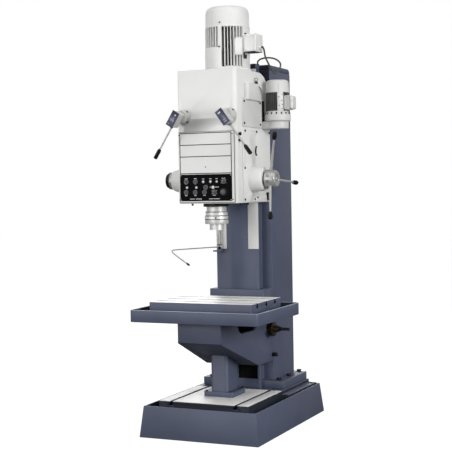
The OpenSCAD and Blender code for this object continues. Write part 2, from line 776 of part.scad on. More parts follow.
// Places of the shift levers, their hubs and plates
shift_x = head_w / 2 - 52;
shift_z = head_low + 645;
shift_r = 14;
shift_boss_r = 54;
shift_front = -506;
shift_tilt = [32, -36];
block_w = 58;
block_h = 118;
block_t = 98;
block_low = -83;

module shift_bosses() color(white) difference() {
    for (x = [-1, 1])
        translate([x * shift_x, shift_front, shift_z]) rotate([-90, 0, 0])
            cylinder(h = head_front - shift_front, r1 = 46, r2 = shift_boss_r);
    for (x = [-1, 1]) {
        rod_y(shift_front - 1, head_front + 1, shift_r + run_gap, x * shift_x, shift_z);
        translate([x > 0 ? head_w / 2 - 1 : -head_w / 2 - 99, shift_front - 1, shift_z - 100])
            cube([100, 200, 200]);
    }
}

// A speed lever whose rod hangs down and leans by tilt
module speed_lever(x, tilt) {
    translate([x, 0, shift_z]) rotate([0, tilt, 0]) {
        color(steel) rod_y(shift_front - 20, head_front + head_wall - 2, shift_r, 0, 0);
        color(label_blue) difference() {
            translate([-block_w / 2, shift_front - 2 - block_t, block_low])
                cube([block_w, block_t, block_h]);
            translate([0, shift_front - 2 - block_t / 2, block_low - 1]) cylinder(h = 31, r = lever_rod_r);
        }
        translate([0, shift_front - 2 - block_t / 2, 0]) {
            color(steel) rod_z(-lever_len + 60, block_low + 30, lever_rod_r, 0, 0);
            color(black) translate([0, 0, -lever_len]) rotate_extrude()
                polygon([[0, 0], [grip_r - 2, 0], [grip_r, 4], [grip_r, 68], [grip_r - 4, 80],
                         [lever_rod_r - 1, 83], [0, 83]]);
        }
    }
}

module speed_lever_left() speed_lever(-shift_x, shift_tilt[0]);
module speed_lever_right() speed_lever(shift_x, shift_tilt[1]);

// The front panel, its three blank plates and the switch box
panel_x0 = 4 - head_w / 2;
panel_x1 = head_w / 2 - 23;
panel_low = head_low + 10;
panel_high = head_low + 531;
panel_t = 8;
panel_front = head_front - panel_t;
switch_x0 = -226;
switch_x1 = 197;
switch_low = head_low + 20;
switch_high = head_low + 216;
switch_front = panel_front - 4;
plate_lines = [for (z = [222, 347, 434, 521]) head_low + z];

module front_panel() color(white) difference() {
    translate([panel_x0, panel_front, panel_low])
        cube([panel_x1 - panel_x0, panel_t, panel_high - panel_low]);
    translate([switch_x0 - 1, panel_front - 1, switch_low - 1])
        cube([switch_x1 - switch_x0 + 2, panel_t + 2, switch_high - switch_low + 2]);
    for (z = plate_lines)
        translate([switch_x0, panel_front - 1, z]) cube([switch_x1 - switch_x0, 4, 4]);
    for (x = [switch_x0, switch_x1 - 4])
        translate([x, panel_front - 1, plate_lines[0]]) cube([4, 4, plate_lines[3] - plate_lines[0] + 4]);
}

row_high = head_low + 162;
row_mid = head_low + 120;
row_low = head_low + 84;
buttons = [[-175, row_high], [-99, row_high], [-15, row_mid], [-176, row_low], [-101, row_low],
           [-25, row_low]];
selectors = [[131, row_high], [55, row_low]];
stop_at = [131, row_low];
lamps = [[-34, row_high, 8], [25, row_high, 8], [76, row_high, 7], [-168, row_mid, 8], [-91, row_mid, 8],
         [45, row_mid, 11]];
stem_r = 6;

module switch_panel() color(black) difference() {
    translate([switch_x0, switch_front, switch_low])
        cube([switch_x1 - switch_x0, head_front - switch_front, switch_high - switch_low]);
    for (b = concat(buttons, selectors, [stop_at]))
        rod_y(switch_front - 1, head_front - 2, stem_r + run_gap, b[0], b[1]);
}

// A push button: cap in front of the panel, stem in its hole
module push_button(i) {
    b = buttons[i];
    color(i < 3 ? "#3d3f42" : "#2f3133") union() {
        rod_y(switch_front - button_travel - 6, switch_front - button_travel - 0.5, button_r, b[0], b[1]);
        rod_y(switch_front - button_travel - 1, head_front - 2 - button_travel - 0.5, stem_r, b[0], b[1]);
    }
}

module selector(i) color("#9a9c9e") {
    s = selectors[i];
    rod_y(switch_front - 10, switch_front - 0.5, 14, s[0], s[1]);
    translate([s[0] - 4, switch_front - 20, s[1] - 13]) cube([8, 11, 26]);
    rod_y(switch_front - 1, head_front - 3, stem_r, s[0], s[1]);
}

module stop_button() color("#2a2a2c") {
    rod_y(switch_front - button_travel - 18, switch_front - button_travel - 8, 22, stop_at[0], stop_at[1]);
    rod_y(switch_front - button_travel - 9, switch_front - button_travel - 0.5, 13, stop_at[0], stop_at[1]);
    rod_y(switch_front - button_travel - 1, head_front - 2 - button_travel - 0.5, stem_r,
          stop_at[0], stop_at[1]);
}

module panel_lamps() color("#d8d8d4")
    for (l = lamps)
        rod_y(switch_front - 5, switch_front, l[2], l[0], l[1]);

// Covers, screws and small fittings on the head's right side
cover_t = 8;
cover_x = head_w / 2;
upper_cover = [-345, head_low + 565, 372, 214];
lower_cover = [-345, head_low + 6, 525, 546];
cover_screws_at = [for (s = [[-318, 755], [-12, 755], [-318, 591], [-12, 591], [-308, 535], [162, 535],
                             [-319, 259], [-325, 25], [150, 25], [-90, 535]]) [s[0], head_low + s[1]]];
blister = [-300, head_low + 773, 290, 160];
blister_top = blister[1] + blister[3] - 40;
head_clamp_y = 100;
head_clamp_z = head_low + 63;
eye_x = cover_x + 17;
eye_y = -95;
eye_r = 8;

module side_covers() color(white) difference() {
    union() {
        for (c = [upper_cover, lower_cover])
            translate([cover_x, c[0], c[1]]) cube([cover_t, c[2], c[3]]);
        translate([cover_x, blister[0] + 40, blister[1] - 5]) cube([34, blister[2] - 80, blister[3] - 35]);
        for (y = [blister[0] + 40, blister[0] + blister[2] - 40])
            rod_z(blister[1] - 5, blister_top, 34, cover_x, y);
    }
    translate([cover_x - 50, blister[0] - 10, blister[1] - 20]) cube([50, blister[2] + 20, blister[3] + 40]);
    rod_x(cover_x - 1, cover_x + 60, boss_r + 0.5, feed_y, feed_z);
    rod_x(cover_x - 1, cover_x + 60, clamp_r + 1, head_clamp_y, head_clamp_z);
    for (s = cover_screws_at) rod_x(cover_x - 1, cover_x + cover_t + 1, 5, s[0], s[1]);
    rod_z(blister_top - 25, blister_top + 1, eye_r, eye_x, eye_y);
}

module cover_screws() color(black)
    for (s = cover_screws_at) {
        rod_x(cover_x + cover_t, cover_x + cover_t + 5, 8.5, s[0], s[1]);
        rod_x(cover_x, cover_x + cover_t + 1, 5 - run_gap, s[0], s[1]);
    }

module head_clamp() color(black) {
    rod_x(head_w / 2 - 42, head_w / 2 + cover_t + 26, clamp_r, head_clamp_y, head_clamp_z);
    translate([head_w / 2 + cover_t + 4, head_clamp_y, head_clamp_z]) rotate([12, 0, 0])
        translate([0, -11, -50]) cube([20, 22, 62]);
}

module eye_bolt() color(dark_steel) {
    rod_z(blister_top - 24, blister_top + 24, eye_r - run_gap, eye_x, eye_y);
    rod_z(blister_top, blister_top + 20, 11, eye_x, eye_y);
    translate([eye_x, eye_y, blister_top + 35]) rotate([90, 0, 0]) rotate_extrude()
        translate([12, 0]) circle(3.5);
}

// Places on the main motor
motor_flange_t = 24;
motor_low = head_top + motor_flange_t;
motor_high = motor_low + motor_body_h;
cowl_top = motor_high + cowl_h;
fin_count = 44;
fin_t = 5;
core_r = 100;

// An electric motor's frame: finned body with end bells and a shaft bore
module motor_frame(r, z0, z1, fins, bore, inner) difference() {
    union() {
        rod_z(z0, z1, r - 20, 0, 0);
        for (i = [0 : fins - 1])
            rotate([0, 0, i * 360 / fins]) translate([0, -fin_t / 2, z0 + 12]) cube([r, fin_t, z1 - z0 - 24]);
        rod_z(z0, z0 + 14, r - 4, 0, 0);
        rod_z(z1 - 14, z1, r - 4, 0, 0);
    }
    rod_z(z0 + 30, z1 - 30, inner, 0, 0);
    rod_z(z0 - 1, z1 + 1, bore, 0, 0);
}

// A fan cowl with a rounded top edge and rings of air slots
module fan_cowl(r, z0, z1) difference() {
    union() {
        rod_z(z0, z1 - 24, r, 0, 0);
        translate([0, 0, z1 - 24]) rotate_extrude()
            polygon(concat([[0, 0]], [for (i = [0 : 6]) [r - 24 + 24 * cos(i * 15), 24 * sin(i * 15)]],
                           [[0, 24]]));
    }
    rod_z(z0 - 1, z1 - 28, r - 4, 0, 0);
    for (i = [0 : 11]) rotate([0, 0, i * 30]) translate([r * 0.3, -4, z1 - 40]) cube([r * 0.45, 8, 50]);
}

// A rotor: shaft, laminated core and a bladed fan
module rotor(shaft, z_low, z_core0, z_core1, core, z_fan, z_top, fan_r) {
    rod_z(z_low, z_top, shaft, 0, 0);
    rod_z(z_core0, z_core1, core, 0, 0);
    rod_z(z_fan, z_fan + 36, shaft + 14, 0, 0);
    for (i = [0 : 5])
        rotate([0, 0, i * 60]) translate([shaft, -3, z_fan]) cube([fan_r - shaft, 6, 36]);
}

module main_motor() color(white) translate([motor_x, motor_y, 0]) union() {
    difference() {
        rod_z(head_top, motor_low, motor_r + 8, 0, 0);
        rod_z(head_top - 1, motor_low + 1, 62, 0, 0);
    }
    motor_frame(motor_r, motor_low, motor_high, fin_count, motor_shaft_r + run_gap, core_r + 2);
}

module motor_cowl() color(white) translate([motor_x, motor_y, 0]) fan_cowl(motor_r - 8, motor_high, cowl_top);

box_x0 = motor_x + motor_r - 22;
box_x1 = motor_x + motor_r + 92;
box_half = 70;
box_low = motor_low + 117;
box_high = motor_low + 251;
gland_z = box_low + 36;
gland_r = 13;
gland_len = 14;

module terminal_box() {
    color(white) box_shell();
    color("#8a8a88") {
        rod_x(box_x1 - 10, box_x1 + 1, gland_r - 4, motor_y, gland_z);
        rod_x(box_x1, box_x1 + gland_len, gland_r, motor_y, gland_z);
    }
}

module box_shell() difference() {
    translate([box_x0, motor_y - box_half, box_low])
        cube([box_x1 - box_x0, 2 * box_half, box_high - box_low]);
    rod_z(box_low - 1, box_high + 1, motor_r + 0.3, motor_x, motor_y);
    translate([box_x0 + 20, motor_y - box_half + 6, box_low + 6])
        cube([box_x1 - box_x0 - 30, 2 * box_half - 12, box_high - box_low - 12]);
    rod_x(box_x1 - 12, box_x1 + 1, gland_r - 4, motor_y, gland_z);
}

module motor_rotor() color(dark_steel) translate([motor_x, motor_y, 0]) {
    rotor(motor_shaft_r, high_gear_z - 6, motor_low + 45, motor_high - 45, core_r, motor_high + 30,
          motor_high + 80, motor_r - 40);
    translate([0, 0, high_gear_z])
        rotate([0, 0, atan2(motor_y - lay_y, motor_x - lay_x) + 180 + 180 / motor_teeth])
            gear(motor_teeth, gear_m, gear_thick);
}

// The small pump motor on the head's right side
pump_x = head_w / 2 + pump_r + 12;
pump_y = 106;
pump_low = head_low + 561;
pump_seat = pump_low + 58;
pump_flange = pump_seat + 75;
pump_high = pump_flange + 146;
pump_top = pump_high + 95;
pump_shaft_r = 10;

module pump_base() color(white) difference() {
    union() {
        rod_z(pump_low, pump_seat, pump_r - 10, pump_x, pump_y);
        translate([head_w / 2, pump_y - 70, pump_low]) cube([pump_x - head_w / 2, 140, pump_seat - pump_low]);
    }
    rod_z(pump_low + 12, pump_seat + 1, pump_r - 30, pump_x, pump_y);
}

module pump_motor() color(white) translate([pump_x, pump_y, 0]) {
    difference() {
        translate([0, 0, pump_seat])
            cylinder(h = pump_flange - pump_seat, r1 = pump_r + 8, r2 = pump_r + 1);
        rod_z(pump_seat - 1, pump_flange + 1, pump_r - 40, 0, 0);
    }
    motor_frame(pump_r - 4, pump_flange, pump_high, 24, pump_shaft_r + run_gap, 52);
    translate([pump_r - 26, -46, pump_flange + 11]) cube([72, 92, 106]);
}

module pump_cowl() color(white) translate([pump_x, pump_y, 0]) fan_cowl(pump_r - 4, pump_high, pump_top);

module pump_rotor() color(dark_steel) translate([pump_x, pump_y, 0])
    rotor(pump_shaft_r, pump_seat + 6, pump_flange + 40, pump_high - 40, 50,
          pump_high + 12, pump_high + 50, 66);

// Coolant pipe beside the guide
pipe_x = 42 - guide_w / 2;
pipe_y = guide_y - 36;
pipe_r = 13;
pipe_low = 1401;
pipe_top = head_low + 100;
pipe_room = 150;
valve_z = 1375;

module coolant_pipe() color("#c9c9c6")
    rod_z(pipe_low, pipe_top, pipe_r, pipe_x, pipe_y);

module coolant_bracket() {
    color(navy) translate([pipe_x - 50, pipe_y - 17, valve_z - 34]) cube([67, guide_y - pipe_y + 17, 12]);
    color(black) {
        rod_z(valve_z - 22, pipe_low, 15, pipe_x, pipe_y);
        rod_z(pipe_low - 8, pipe_low, 18, pipe_x, pipe_y);
    }
}

// The nozzle's bent tube, counted from the pipe's axis
nozzle_route = [[-19, -4, 2], [-35, -20, 2], [-97, -118, 1], [-174, -257, -1], [-224, -346, -3],
                [-232, -360, -8], [-226, -366, -22], [-180, -366, -56], [-85, -365, -118]];

module coolant_nozzle() color(dark_steel) {
    difference() {
        rod_z(valve_z - 10, valve_z + 14, 22, pipe_x, pipe_y);
        rod_z(valve_z - 11, valve_z + 15, 15 + run_gap, pipe_x, pipe_y);
    }
    translate([pipe_x, pipe_y, valve_z]) tube(smooth(nozzle_route, 2), 5, 8);
}

// The motor cable's route, from the terminal box into the column's top
cable_in_x = 132;
cable_in_y = box_y + 17;
cable_route = concat([for (s = [0, 7, 14]) [box_x1 + gland_len + s, motor_y, gland_z]],
    [[323, -95, 2873], [318, -60, 2826], [324, -20, 2784], [331, 40, 2734], [336, 100, 2715],
     [346, 150, 2748], [347, 178, 2787], [322, 196, 2820], [272, 208, 2845], [210, 218, 2853],
     [160, 228, 2847], [138, 232, 2835]],
    [for (s = [14, 7, 0]) [cable_in_x, cable_in_y, column_top + gland_len + s]]);

// A point at t on the smooth curve through a list of points
function spline(p, i, t) = let (a = p[max(i - 1, 0)], b = p[i], c = p[i + 1], d = p[min(i + 2, len(p) - 1)])
    0.5 * (2 * b + (c - a) * t + (2 * a - 5 * b + 4 * c - d) * t * t + (3 * b - a - 3 * c + d) * t * t * t);
function smooth(p, steps) =
    concat([for (i = [0 : len(p) - 2]) for (s = [0 : steps - 1]) spline(p, i, s / steps)],
    [p[len(p) - 1]]);
function unit(v) = v / norm(v);
function heading(p, i) = unit(p[min(i + 1, len(p) - 1)] - p[max(i - 1, 0)]);
// Sideways vectors carried along the path without twist
function carry(p, i, side) = let (t = heading(p, i)) unit(side - t * (side * t));
function sides(p, i, side) = i >= len(p) ? [] : let (s = carry(p, i, side)) concat([s], sides(p, i + 1, s));

// A tube swept along a path as one closed polyhedron
module tube(path, r, n) {
    side = sides(path, 0, cross(heading(path, 0), [0.1, 0.3, 1]));
    count = len(path);
    points = [for (i = [0 : count - 1]) for (k = [0 : n - 1])
        let (t = heading(path, i), u = side[i], v = cross(t, u), a = k * 360 / n)
            path[i] + r * (cos(a) * u + sin(a) * v)];
    faces = concat([[for (k = [0 : n - 1]) k]],
        [for (i = [0 : count - 2]) for (k = [0 : n - 1])
            each [[i * n + k, (i + 1) * n + k, (i + 1) * n + (k + 1) % n],
                  [i * n + k, (i + 1) * n + (k + 1) % n, i * n + (k + 1) % n]]],
        [[for (k = [n - 1 : -1 : 0]) (count - 1) * n + k]]);
    polyhedron(points, faces);
}

module motor_cable() color("#5a5a58") tube(smooth(cable_route, 2), cable_d / 2, 10);

base();
column();
way_strips();
column_cap();
foot_bolts();
lift_post();
lift_nut();
coolant_bracket();
coolant_pipe();
coolant_nozzle();
motor_cable();
knee();
coolant_tray();
work_table();
crank_bearing();
knee_clamp();
crank_shaft();
cross_shaft();
long_shaft();
lift_screw();
head_casing();
front_panel();
switch_panel();
panel_lamps();
side_covers();
cover_screws();
shift_bosses();
main_motor();
motor_cowl();
terminal_box();
pump_base();
pump_motor();
pump_cowl();
eye_bolt();
head_clamp();
quill_collar();
motor_rotor();
pump_rotor();
layshaft();
drive_sleeve();
quill();
nose_ring();
spindle_bearings();
spindle();
feed_shaft();
feed_hub();
feed_spokes();
feed_knobs();
feed_dial();
speed_lever_left();
speed_lever_right();
stop_button();
for (i = [0 : len(buttons) - 1])
    push_button(i);
for (i = [0 : len(selectors) - 1])
    selector(i);
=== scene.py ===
import json
import math

import bpy
from mathutils import Matrix, Vector


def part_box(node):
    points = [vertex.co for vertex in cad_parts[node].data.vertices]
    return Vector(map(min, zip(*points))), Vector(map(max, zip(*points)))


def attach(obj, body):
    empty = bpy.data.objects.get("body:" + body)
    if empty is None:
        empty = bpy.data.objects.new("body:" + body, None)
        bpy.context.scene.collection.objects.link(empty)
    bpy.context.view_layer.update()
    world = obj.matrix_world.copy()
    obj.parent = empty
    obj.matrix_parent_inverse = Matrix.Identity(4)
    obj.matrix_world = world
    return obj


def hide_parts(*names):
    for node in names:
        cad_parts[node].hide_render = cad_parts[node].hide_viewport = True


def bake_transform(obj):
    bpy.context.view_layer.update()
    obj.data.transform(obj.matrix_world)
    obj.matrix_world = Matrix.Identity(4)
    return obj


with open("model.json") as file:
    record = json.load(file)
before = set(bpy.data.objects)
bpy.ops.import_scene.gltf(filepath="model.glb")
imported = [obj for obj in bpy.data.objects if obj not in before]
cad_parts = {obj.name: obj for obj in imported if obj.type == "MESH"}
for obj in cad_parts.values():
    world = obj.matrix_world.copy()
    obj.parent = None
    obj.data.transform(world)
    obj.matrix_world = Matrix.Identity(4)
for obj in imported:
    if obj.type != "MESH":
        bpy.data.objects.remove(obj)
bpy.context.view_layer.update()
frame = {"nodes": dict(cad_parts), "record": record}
bodyOf = {node: body for body, nodes in frame["record"]["behaviour"]["bodies"].items() for node in nodes}
slotOf = {part["node"]: part["material_slot"] for part in frame["record"]["subparts"]}
print("frame loaded:", len(frame["nodes"]), "nodes")

# The ways that turned shapes and raised faces look
toFront = (0, -1, 0)
toRight = (1, 0, 0)
toLeft = (-1, 0, 0)
upward = (0, 0, 1)
downward = (0, 0, -1)

# The camera stands where the photograph was taken from: a little above half height, to the right
photoView = {"place": (3.5639, -7.9831, 1.8424), "yaw": 0.42615, "pitch": -0.03402, "roll": -0.017205,
             "lens": 89.66}


def makeCamera(view):
    data = bpy.data.cameras.new("photoCamera")
    data.lens = view["lens"]
    data.sensor_width = 36
    camera = bpy.data.objects.new("photoCamera", data)
    bpy.context.scene.collection.objects.link(camera)
    camera.matrix_world = (Matrix.Translation(view["place"]) @ Matrix.Rotation(view["yaw"], 4, "Z")
                           @ Matrix.Rotation(math.pi / 2 + view["pitch"], 4, "X")
                           @ Matrix.Rotation(view["roll"], 4, "Z"))
    bpy.context.scene.camera = camera


makeCamera(photoView)


def addNode(tree, kind, inputs=None, settings=None):
    made = tree.nodes.new("ShaderNode" + kind)
    for name, value in (settings or {}).items():
        setattr(made, name, value)
    for name, value in (inputs or {}).items():
        socket = made.inputs[name]
        if isinstance(value, bpy.types.NodeSocket):
            tree.links.new(value, socket)
        else:
            socket.default_value = value
    return made


def colour(code):
    # sRGB hex to linear
    parts = [int(code[i:i + 2], 16) / 255 for i in (1, 3, 5)]
    return [c / 12.92 if c <= 0.04045 else ((c + 0.055) / 1.055) ** 2.4 for c in parts] + [1.0]


def newMaterial(name):
    material = bpy.data.materials.new(name)
    material.use_nodes = True
    tree = material.node_tree
    place = addNode(tree, "TexCoord").outputs["Object"]
    return material, tree, tree.nodes["Principled BSDF"], place


def twoTone(tree, shader, pattern, dark, light, low=0.35, high=0.65):
    ramp = addNode(tree, "ValToRGB", {"Fac": pattern})
    for mark, position, code in zip(ramp.color_ramp.elements, (low, high), (dark, light)):
        mark.position = position
        mark.color = colour(code)
    tree.links.new(ramp.outputs["Color"], shader.inputs["Base Color"])


# Roughness that wanders with a pattern, and the relief that a height gives
def roughAndRelief(tree, shader, pattern, roughness, spread, height, strength, depth):
    rough = addNode(tree, "MapRange", {"Value": pattern, "To Min": roughness - spread,
                                       "To Max": roughness + spread})
    tree.links.new(rough.outputs["Result"], shader.inputs["Roughness"])
    bump = addNode(tree, "Bump", {"Height": height, "Strength": strength, "Distance": depth})
    tree.links.new(bump.outputs["Normal"], shader.inputs["Normal"])


# Moulded plastic, rubber and blackened steel: fine grain and a soft sheen
def fineGrain(name, dark, light, roughness, metallic=0.0, sheen=0.5):
    material, tree, shader, place = newMaterial(name)
    grainSize = 0.003  # real grain is well under 1 mm, drawn at 3 mm so that it shows
    speck = addNode(tree, "TexNoise", {"Vector": place, "Scale": 1 / grainSize, "Detail": 3.0}).outputs["Fac"]
    twoTone(tree, shader, speck, dark, light)
    shader.inputs["Metallic"].default_value = metallic
    shader.inputs["Specular IOR Level"].default_value = sheen
    roughAndRelief(tree, shader, speck, roughness, 0.05, speck, 0.2, 0.0003)
    return material


# Enamel sprayed on filled iron or sheet: an even satin coat with faint orange peel and broad waves
def sprayedEnamel(name, dark, light, roughness, peel=0.010):
    material, tree, shader, place = newMaterial(name)
    # the tone drifts over about 450 mm, and the filler under the coat waves about every 110 mm
    drift = addNode(tree, "TexNoise", {"Vector": place, "Scale": 2.2, "Detail": 3.0, "Roughness": 0.55})
    wavy = addNode(tree, "TexNoise", {"Vector": place, "Scale": 9.0, "Detail": 1.0})
    # real orange peel is 2 to 3 mm across, drawn at 4 to 10 mm so that it shows
    fine = addNode(tree, "TexNoise", {"Vector": place, "Scale": 1 / peel, "Detail": 2.0}).outputs["Fac"]
    twoTone(tree, shader, drift.outputs["Fac"], dark, light)
    height = addNode(tree, "Math", {0: wavy.outputs["Fac"], 1: 3.5, 2: fine}, {"operation": "MULTIPLY_ADD"})
    roughAndRelief(tree, shader, fine, roughness, 0.06, height.outputs["Value"], 0.25, 0.0006)
    shader.inputs["IOR"].default_value = 1.5
    shader.inputs["Specular IOR Level"].default_value = 0.35
    return material


# Machined metal: fine tool or grinding lines that run along the axis stretched least
def machinedMetal(name, dark, light, roughness, along, metallic=0.9, depth=0.0002):
    material, tree, shader, place = newMaterial(name)
    stretched = addNode(tree, "Mapping", {"Vector": place, "Scale": along}).outputs["Vector"]
    # real lines are about 0.2 mm apart, drawn 3 mm apart and wider so that they show
    lines = addNode(tree, "TexNoise", {"Vector": stretched, "Scale": 5.0, "Detail": 4.0,
                                       "Roughness": 0.7}).outputs["Fac"]
    twoTone(tree, shader, lines, dark, light, 0.3, 0.7)
    shader.inputs["Metallic"].default_value = metallic
    roughAndRelief(tree, shader, lines, roughness, 0.05, lines, 0.12, depth)
    return material


# Navy machine enamel on cast iron: dusty blue with a soft, wide highlight
navyEnamel = sprayedEnamel("navyMachineEnamel", "#4a5064", "#51576c", 0.5)
# the same coat drawn nearly black as painted shade: in gutters, slots, the tray's trough and on the column and
# cap faces behind the motor
navyPaintedShade = sprayedEnamel("navyEnamelPaintedShade", "#0c101c", "#151a29", 0.6)
# the same coat under the knee, drawn a deep flat blue as painted shade
kneeUnderShade = sprayedEnamel("navyPaintedShadeUnderKnee", "#272c3d", "#2f3548", 0.6)
# the same coat pale blue-grey: a painted highlight along the tray's top rim, and the pale marks on the lever
# plates
paleMarkAndRimHighlight = sprayedEnamel("palePrintAndRimHighlight", "#8a8f9e", "#9fa4b2", 0.4)
# White machine enamel on cast iron: clean and bright with a clear highlight
whiteEnamel = sprayedEnamel("whiteMachineEnamel", "#dcdcda", "#e3e3e1", 0.38)
# the same coat on a cover that stands in the lesser light: a shade greyer
coverEnamel = sprayedEnamel("shadedWhiteEnamel", "#cbcbc9", "#d3d3d1", 0.42)
# White motor enamel on cast aluminium: finer peel, and duller than the head
motorEnamel = sprayedEnamel("whiteMotorEnamel", "#d6d6d4", "#e2e2e0", 0.42, peel=0.006)
# the same coat drawn near black with no shine as painted shade: the core between the fins, the cowl's air slots
# and the motor's bracket
paintedShadeInGaps = sprayedEnamel("enamelPaintedShadeInGaps", "#242424", "#3c3c3b", 0.7, peel=0.004)
# the coolant motor's coat: greyer than the main motor's, and on its fins drawn dark as painted shade
pumpEnamel = sprayedEnamel("greyWhitePumpEnamel", "#c9c9c7", "#d4d4d2", 0.42, peel=0.006)
pumpFinShade = sprayedEnamel("pumpFinsPaintedShade", "#4a4a49", "#7a7a78", 0.65, peel=0.004)
# Light grey enamel on small blocks and bosses: sets them off from the white head
greyEnamel = sprayedEnamel("lightGreyBlockEnamel", "#b4b4b1", "#c6c6c3", 0.4)
# Blue enamelled label plate: smooth, the deepest colour on the head
labelEnamel = sprayedEnamel("blueLabelPlate", "#2f354c", "#383e56", 0.3)

# Open joints, and holes, grooves and the guide's pocket drawn as painted shade: black with no shine, so that
# they read as depth
jointBlack = fineGrain("openJointShadow", "#0c0c0d", "#161617", 0.8, sheen=0.05)
# Rubbery seam filler: a dull dark line; the same drawn as painted shade in bolt sockets and turned grooves
seamFillerAndShade = fineGrain("darkSeamFillerAndShade", "#1c1c1e", "#2c2c2e", 0.7, sheen=0.2)

# Ground cast iron of tables: pale and even, hardly mirroring, with long faint lines
tableSteel = machinedMetal("groundTableSteel", "#ebebe8", "#f4f4f1", 0.5, (0.6, 30.0, 30.0), metallic=0.05)
# Ground ways of the column: pale, with lines that run up
waySteel = machinedMetal("groundWaySteel", "#d8d8d6", "#e2e2e0", 0.5, (20.0, 20.0, 0.5), metallic=0.1)
# Turned steel: light grey with rings round an upright axis, and round a level one on the hub and dial
turnedSteel = machinedMetal("turnedSteel", "#c6c6c4", "#dcdcda", 0.46, (1.0, 1.0, 60.0), metallic=0.45,
                            depth=0.00005)
hubSteel = machinedMetal("turnedHubSteel", "#9c9c9a", "#b4b4b2", 0.42, (60.0, 1.0, 1.0), metallic=0.6,
                         depth=0.00005)
# Oiled steel inside the machine: dark with a keen glint
innerSteel = machinedMetal("oiledInnerSteel", "#6f7072", "#8a8b8d", 0.35, (8.0, 8.0, 30.0))
# Polished handles, rubbed smooth by hands: an even grey with a soft streak of light
polishedSteel = machinedMetal("polishedHandleSteel", "#a4a4a2", "#b6b6b4", 0.42, (6.0, 6.0, 6.0),
                              metallic=0.5, depth=0.00003)
# Oiled nozzle tube: a shade darker and less bright than the handles
darkTubeSteel = machinedMetal("oiledNozzleTube", "#8e8e8c", "#a6a6a4", 0.42, (6.0, 6.0, 6.0),
                              metallic=0.3, depth=0.00003)
# Bronze: nearly black with old oil round the crank, warm and clean on the turned nut
bearingBronze = machinedMetal("oiledBearingBronze", "#2e2718", "#453b25", 0.4, (30.0, 6.0, 6.0))
nutBronze = machinedMetal("turnedBronze", "#94713f", "#b08a50", 0.35, (8.0, 8.0, 40.0))
# Plated pipe: the brightest mirror on the machine, greyed by handling
platedPipe = machinedMetal("platedPipe", "#8c8c8a", "#aeaeac", 0.32, (20.0, 20.0, 2.0), metallic=0.6)

# Moulded black plastic of knobs and grips: deep black with a small soft highlight
blackPlastic = fineGrain("mouldedBlackPlastic", "#080809", "#0f0f11", 0.42, sheen=0.15)
# Black oxide on screws and collars: near black with a dull metal glint
blackOxide = fineGrain("blackOxideSteel", "#0e0e10", "#1a1a1c", 0.45, metallic=0.2, sheen=0.3)
# Matt black anodised panel: takes no light, so that its pale marks stand out
panelPlate = fineGrain("blackPanelPlate", "#060607", "#0d0d0e", 0.75, sheen=0.06)
# Moulded grey keys: lighter than the panel, with a slight gloss
keyPlastic = fineGrain("greyKeyPlastic", "#3c3e42", "#515357", 0.35, sheen=0.3)
# Cast bezels: a thin grey metal ring round each key and lamp
bezelMetal = fineGrain("darkBezelMetal", "#5a5b5e", "#77787b", 0.3, metallic=0.7)
# Clear lamp lenses, unlit: pale and glossy
lensPlastic = fineGrain("clearLampLens", "#c9cac8", "#ececea", 0.18)
# Printed pale marks: flat and dull
labelStrip = fineGrain("paleLabelStrip", "#b9b9b6", "#d6d6d2", 0.5)
# Extruded rubber cable sheath: a warm mid grey with little shine
cableSheath = fineGrain("greyCableSheath", "#3a3936", "#55544f", 0.5)
print("materials made")


def deselect():
    if bpy.context.mode != "OBJECT":
        bpy.ops.object.mode_set(mode="OBJECT")
    bpy.ops.object.select_all(action="DESELECT")


def takeUp(piece):
    deselect()
    piece.select_set(True)
    bpy.context.view_layer.objects.active = piece


def openMesh(piece):
    takeUp(piece)
    bpy.ops.object.mode_set(mode="EDIT")
    bpy.ops.mesh.select_all(action="SELECT")


def closeMesh():
    bpy.ops.object.mode_set(mode="OBJECT")


def fixPlace():
    bpy.ops.object.transform_apply(location=True, rotation=True, scale=True)


def extrudeBy(x, y, z):
    bpy.ops.mesh.extrude_region_move(TRANSFORM_OT_translate={"value": (x, y, z)})


def dress(piece, material):
    piece.data.materials.clear()
    piece.data.materials.append(material)
    return piece


def smoothPath(points, steps):
    made = []
    for i in range(len(points) - 1):
        a, b, c, d = (Vector(points[max(0, min(len(points) - 1, i + k))]) for k in (-1, 0, 1, 2))
        for s in range(steps):
            t = s / steps
            made.append(0.5 * (2 * b + (c - a) * t + (2 * a - 5 * b + 4 * c - d) * t * t
                               + (3 * b - a - 3 * c + d) * t ** 3))
    made.append(Vector(points[-1]))
    return made


def tubeAlong(name, material, path, radius, sides):
    curve = bpy.data.curves.new(name, "CURVE")
    curve.dimensions = "3D"
    curve.bevel_depth = radius
    curve.bevel_resolution = sides
    curve.use_fill_caps = True
    line = curve.splines.new("POLY")
    line.points.add(len(path) - 1)
    for point, spot in zip(line.points, path):
        point.co = (*spot, 1)
    piece = bpy.data.objects.new(name, curve)
    bpy.context.scene.collection.objects.link(piece)
    takeUp(piece)
    bpy.ops.object.convert(target="MESH")
    return dress(bpy.context.view_layer.objects.active, material)


# The motor cable hangs from the terminal box in a loop and goes into the column's top
cableRun = {"diameter": 0.013, "points": [
    (0.306, -0.112, 2.895), (0.313, -0.112, 2.895), (0.320, -0.112, 2.895), (0.323, -0.095, 2.873),
    (0.318, -0.060, 2.826), (0.324, -0.020, 2.784), (0.331, 0.040, 2.734), (0.336, 0.100, 2.715),
    (0.346, 0.150, 2.748), (0.347, 0.178, 2.787), (0.322, 0.196, 2.820), (0.272, 0.208, 2.845),
    (0.210, 0.218, 2.853), (0.160, 0.228, 2.847), (0.138, 0.232, 2.835), (0.132, 0.232, 2.826),
    (0.132, 0.232, 2.819), (0.132, 0.232, 2.812)]}


def makeCable(run):
    path = smoothPath(run["points"], 5)
    cable = tubeAlong("motorCable", cableSheath, path, run["diameter"] / 2, 4)
    bpy.ops.object.shade_smooth_by_angle(angle=math.radians(60))
    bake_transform(cable)
    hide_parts("motor_cable")


makeCable(cableRun)

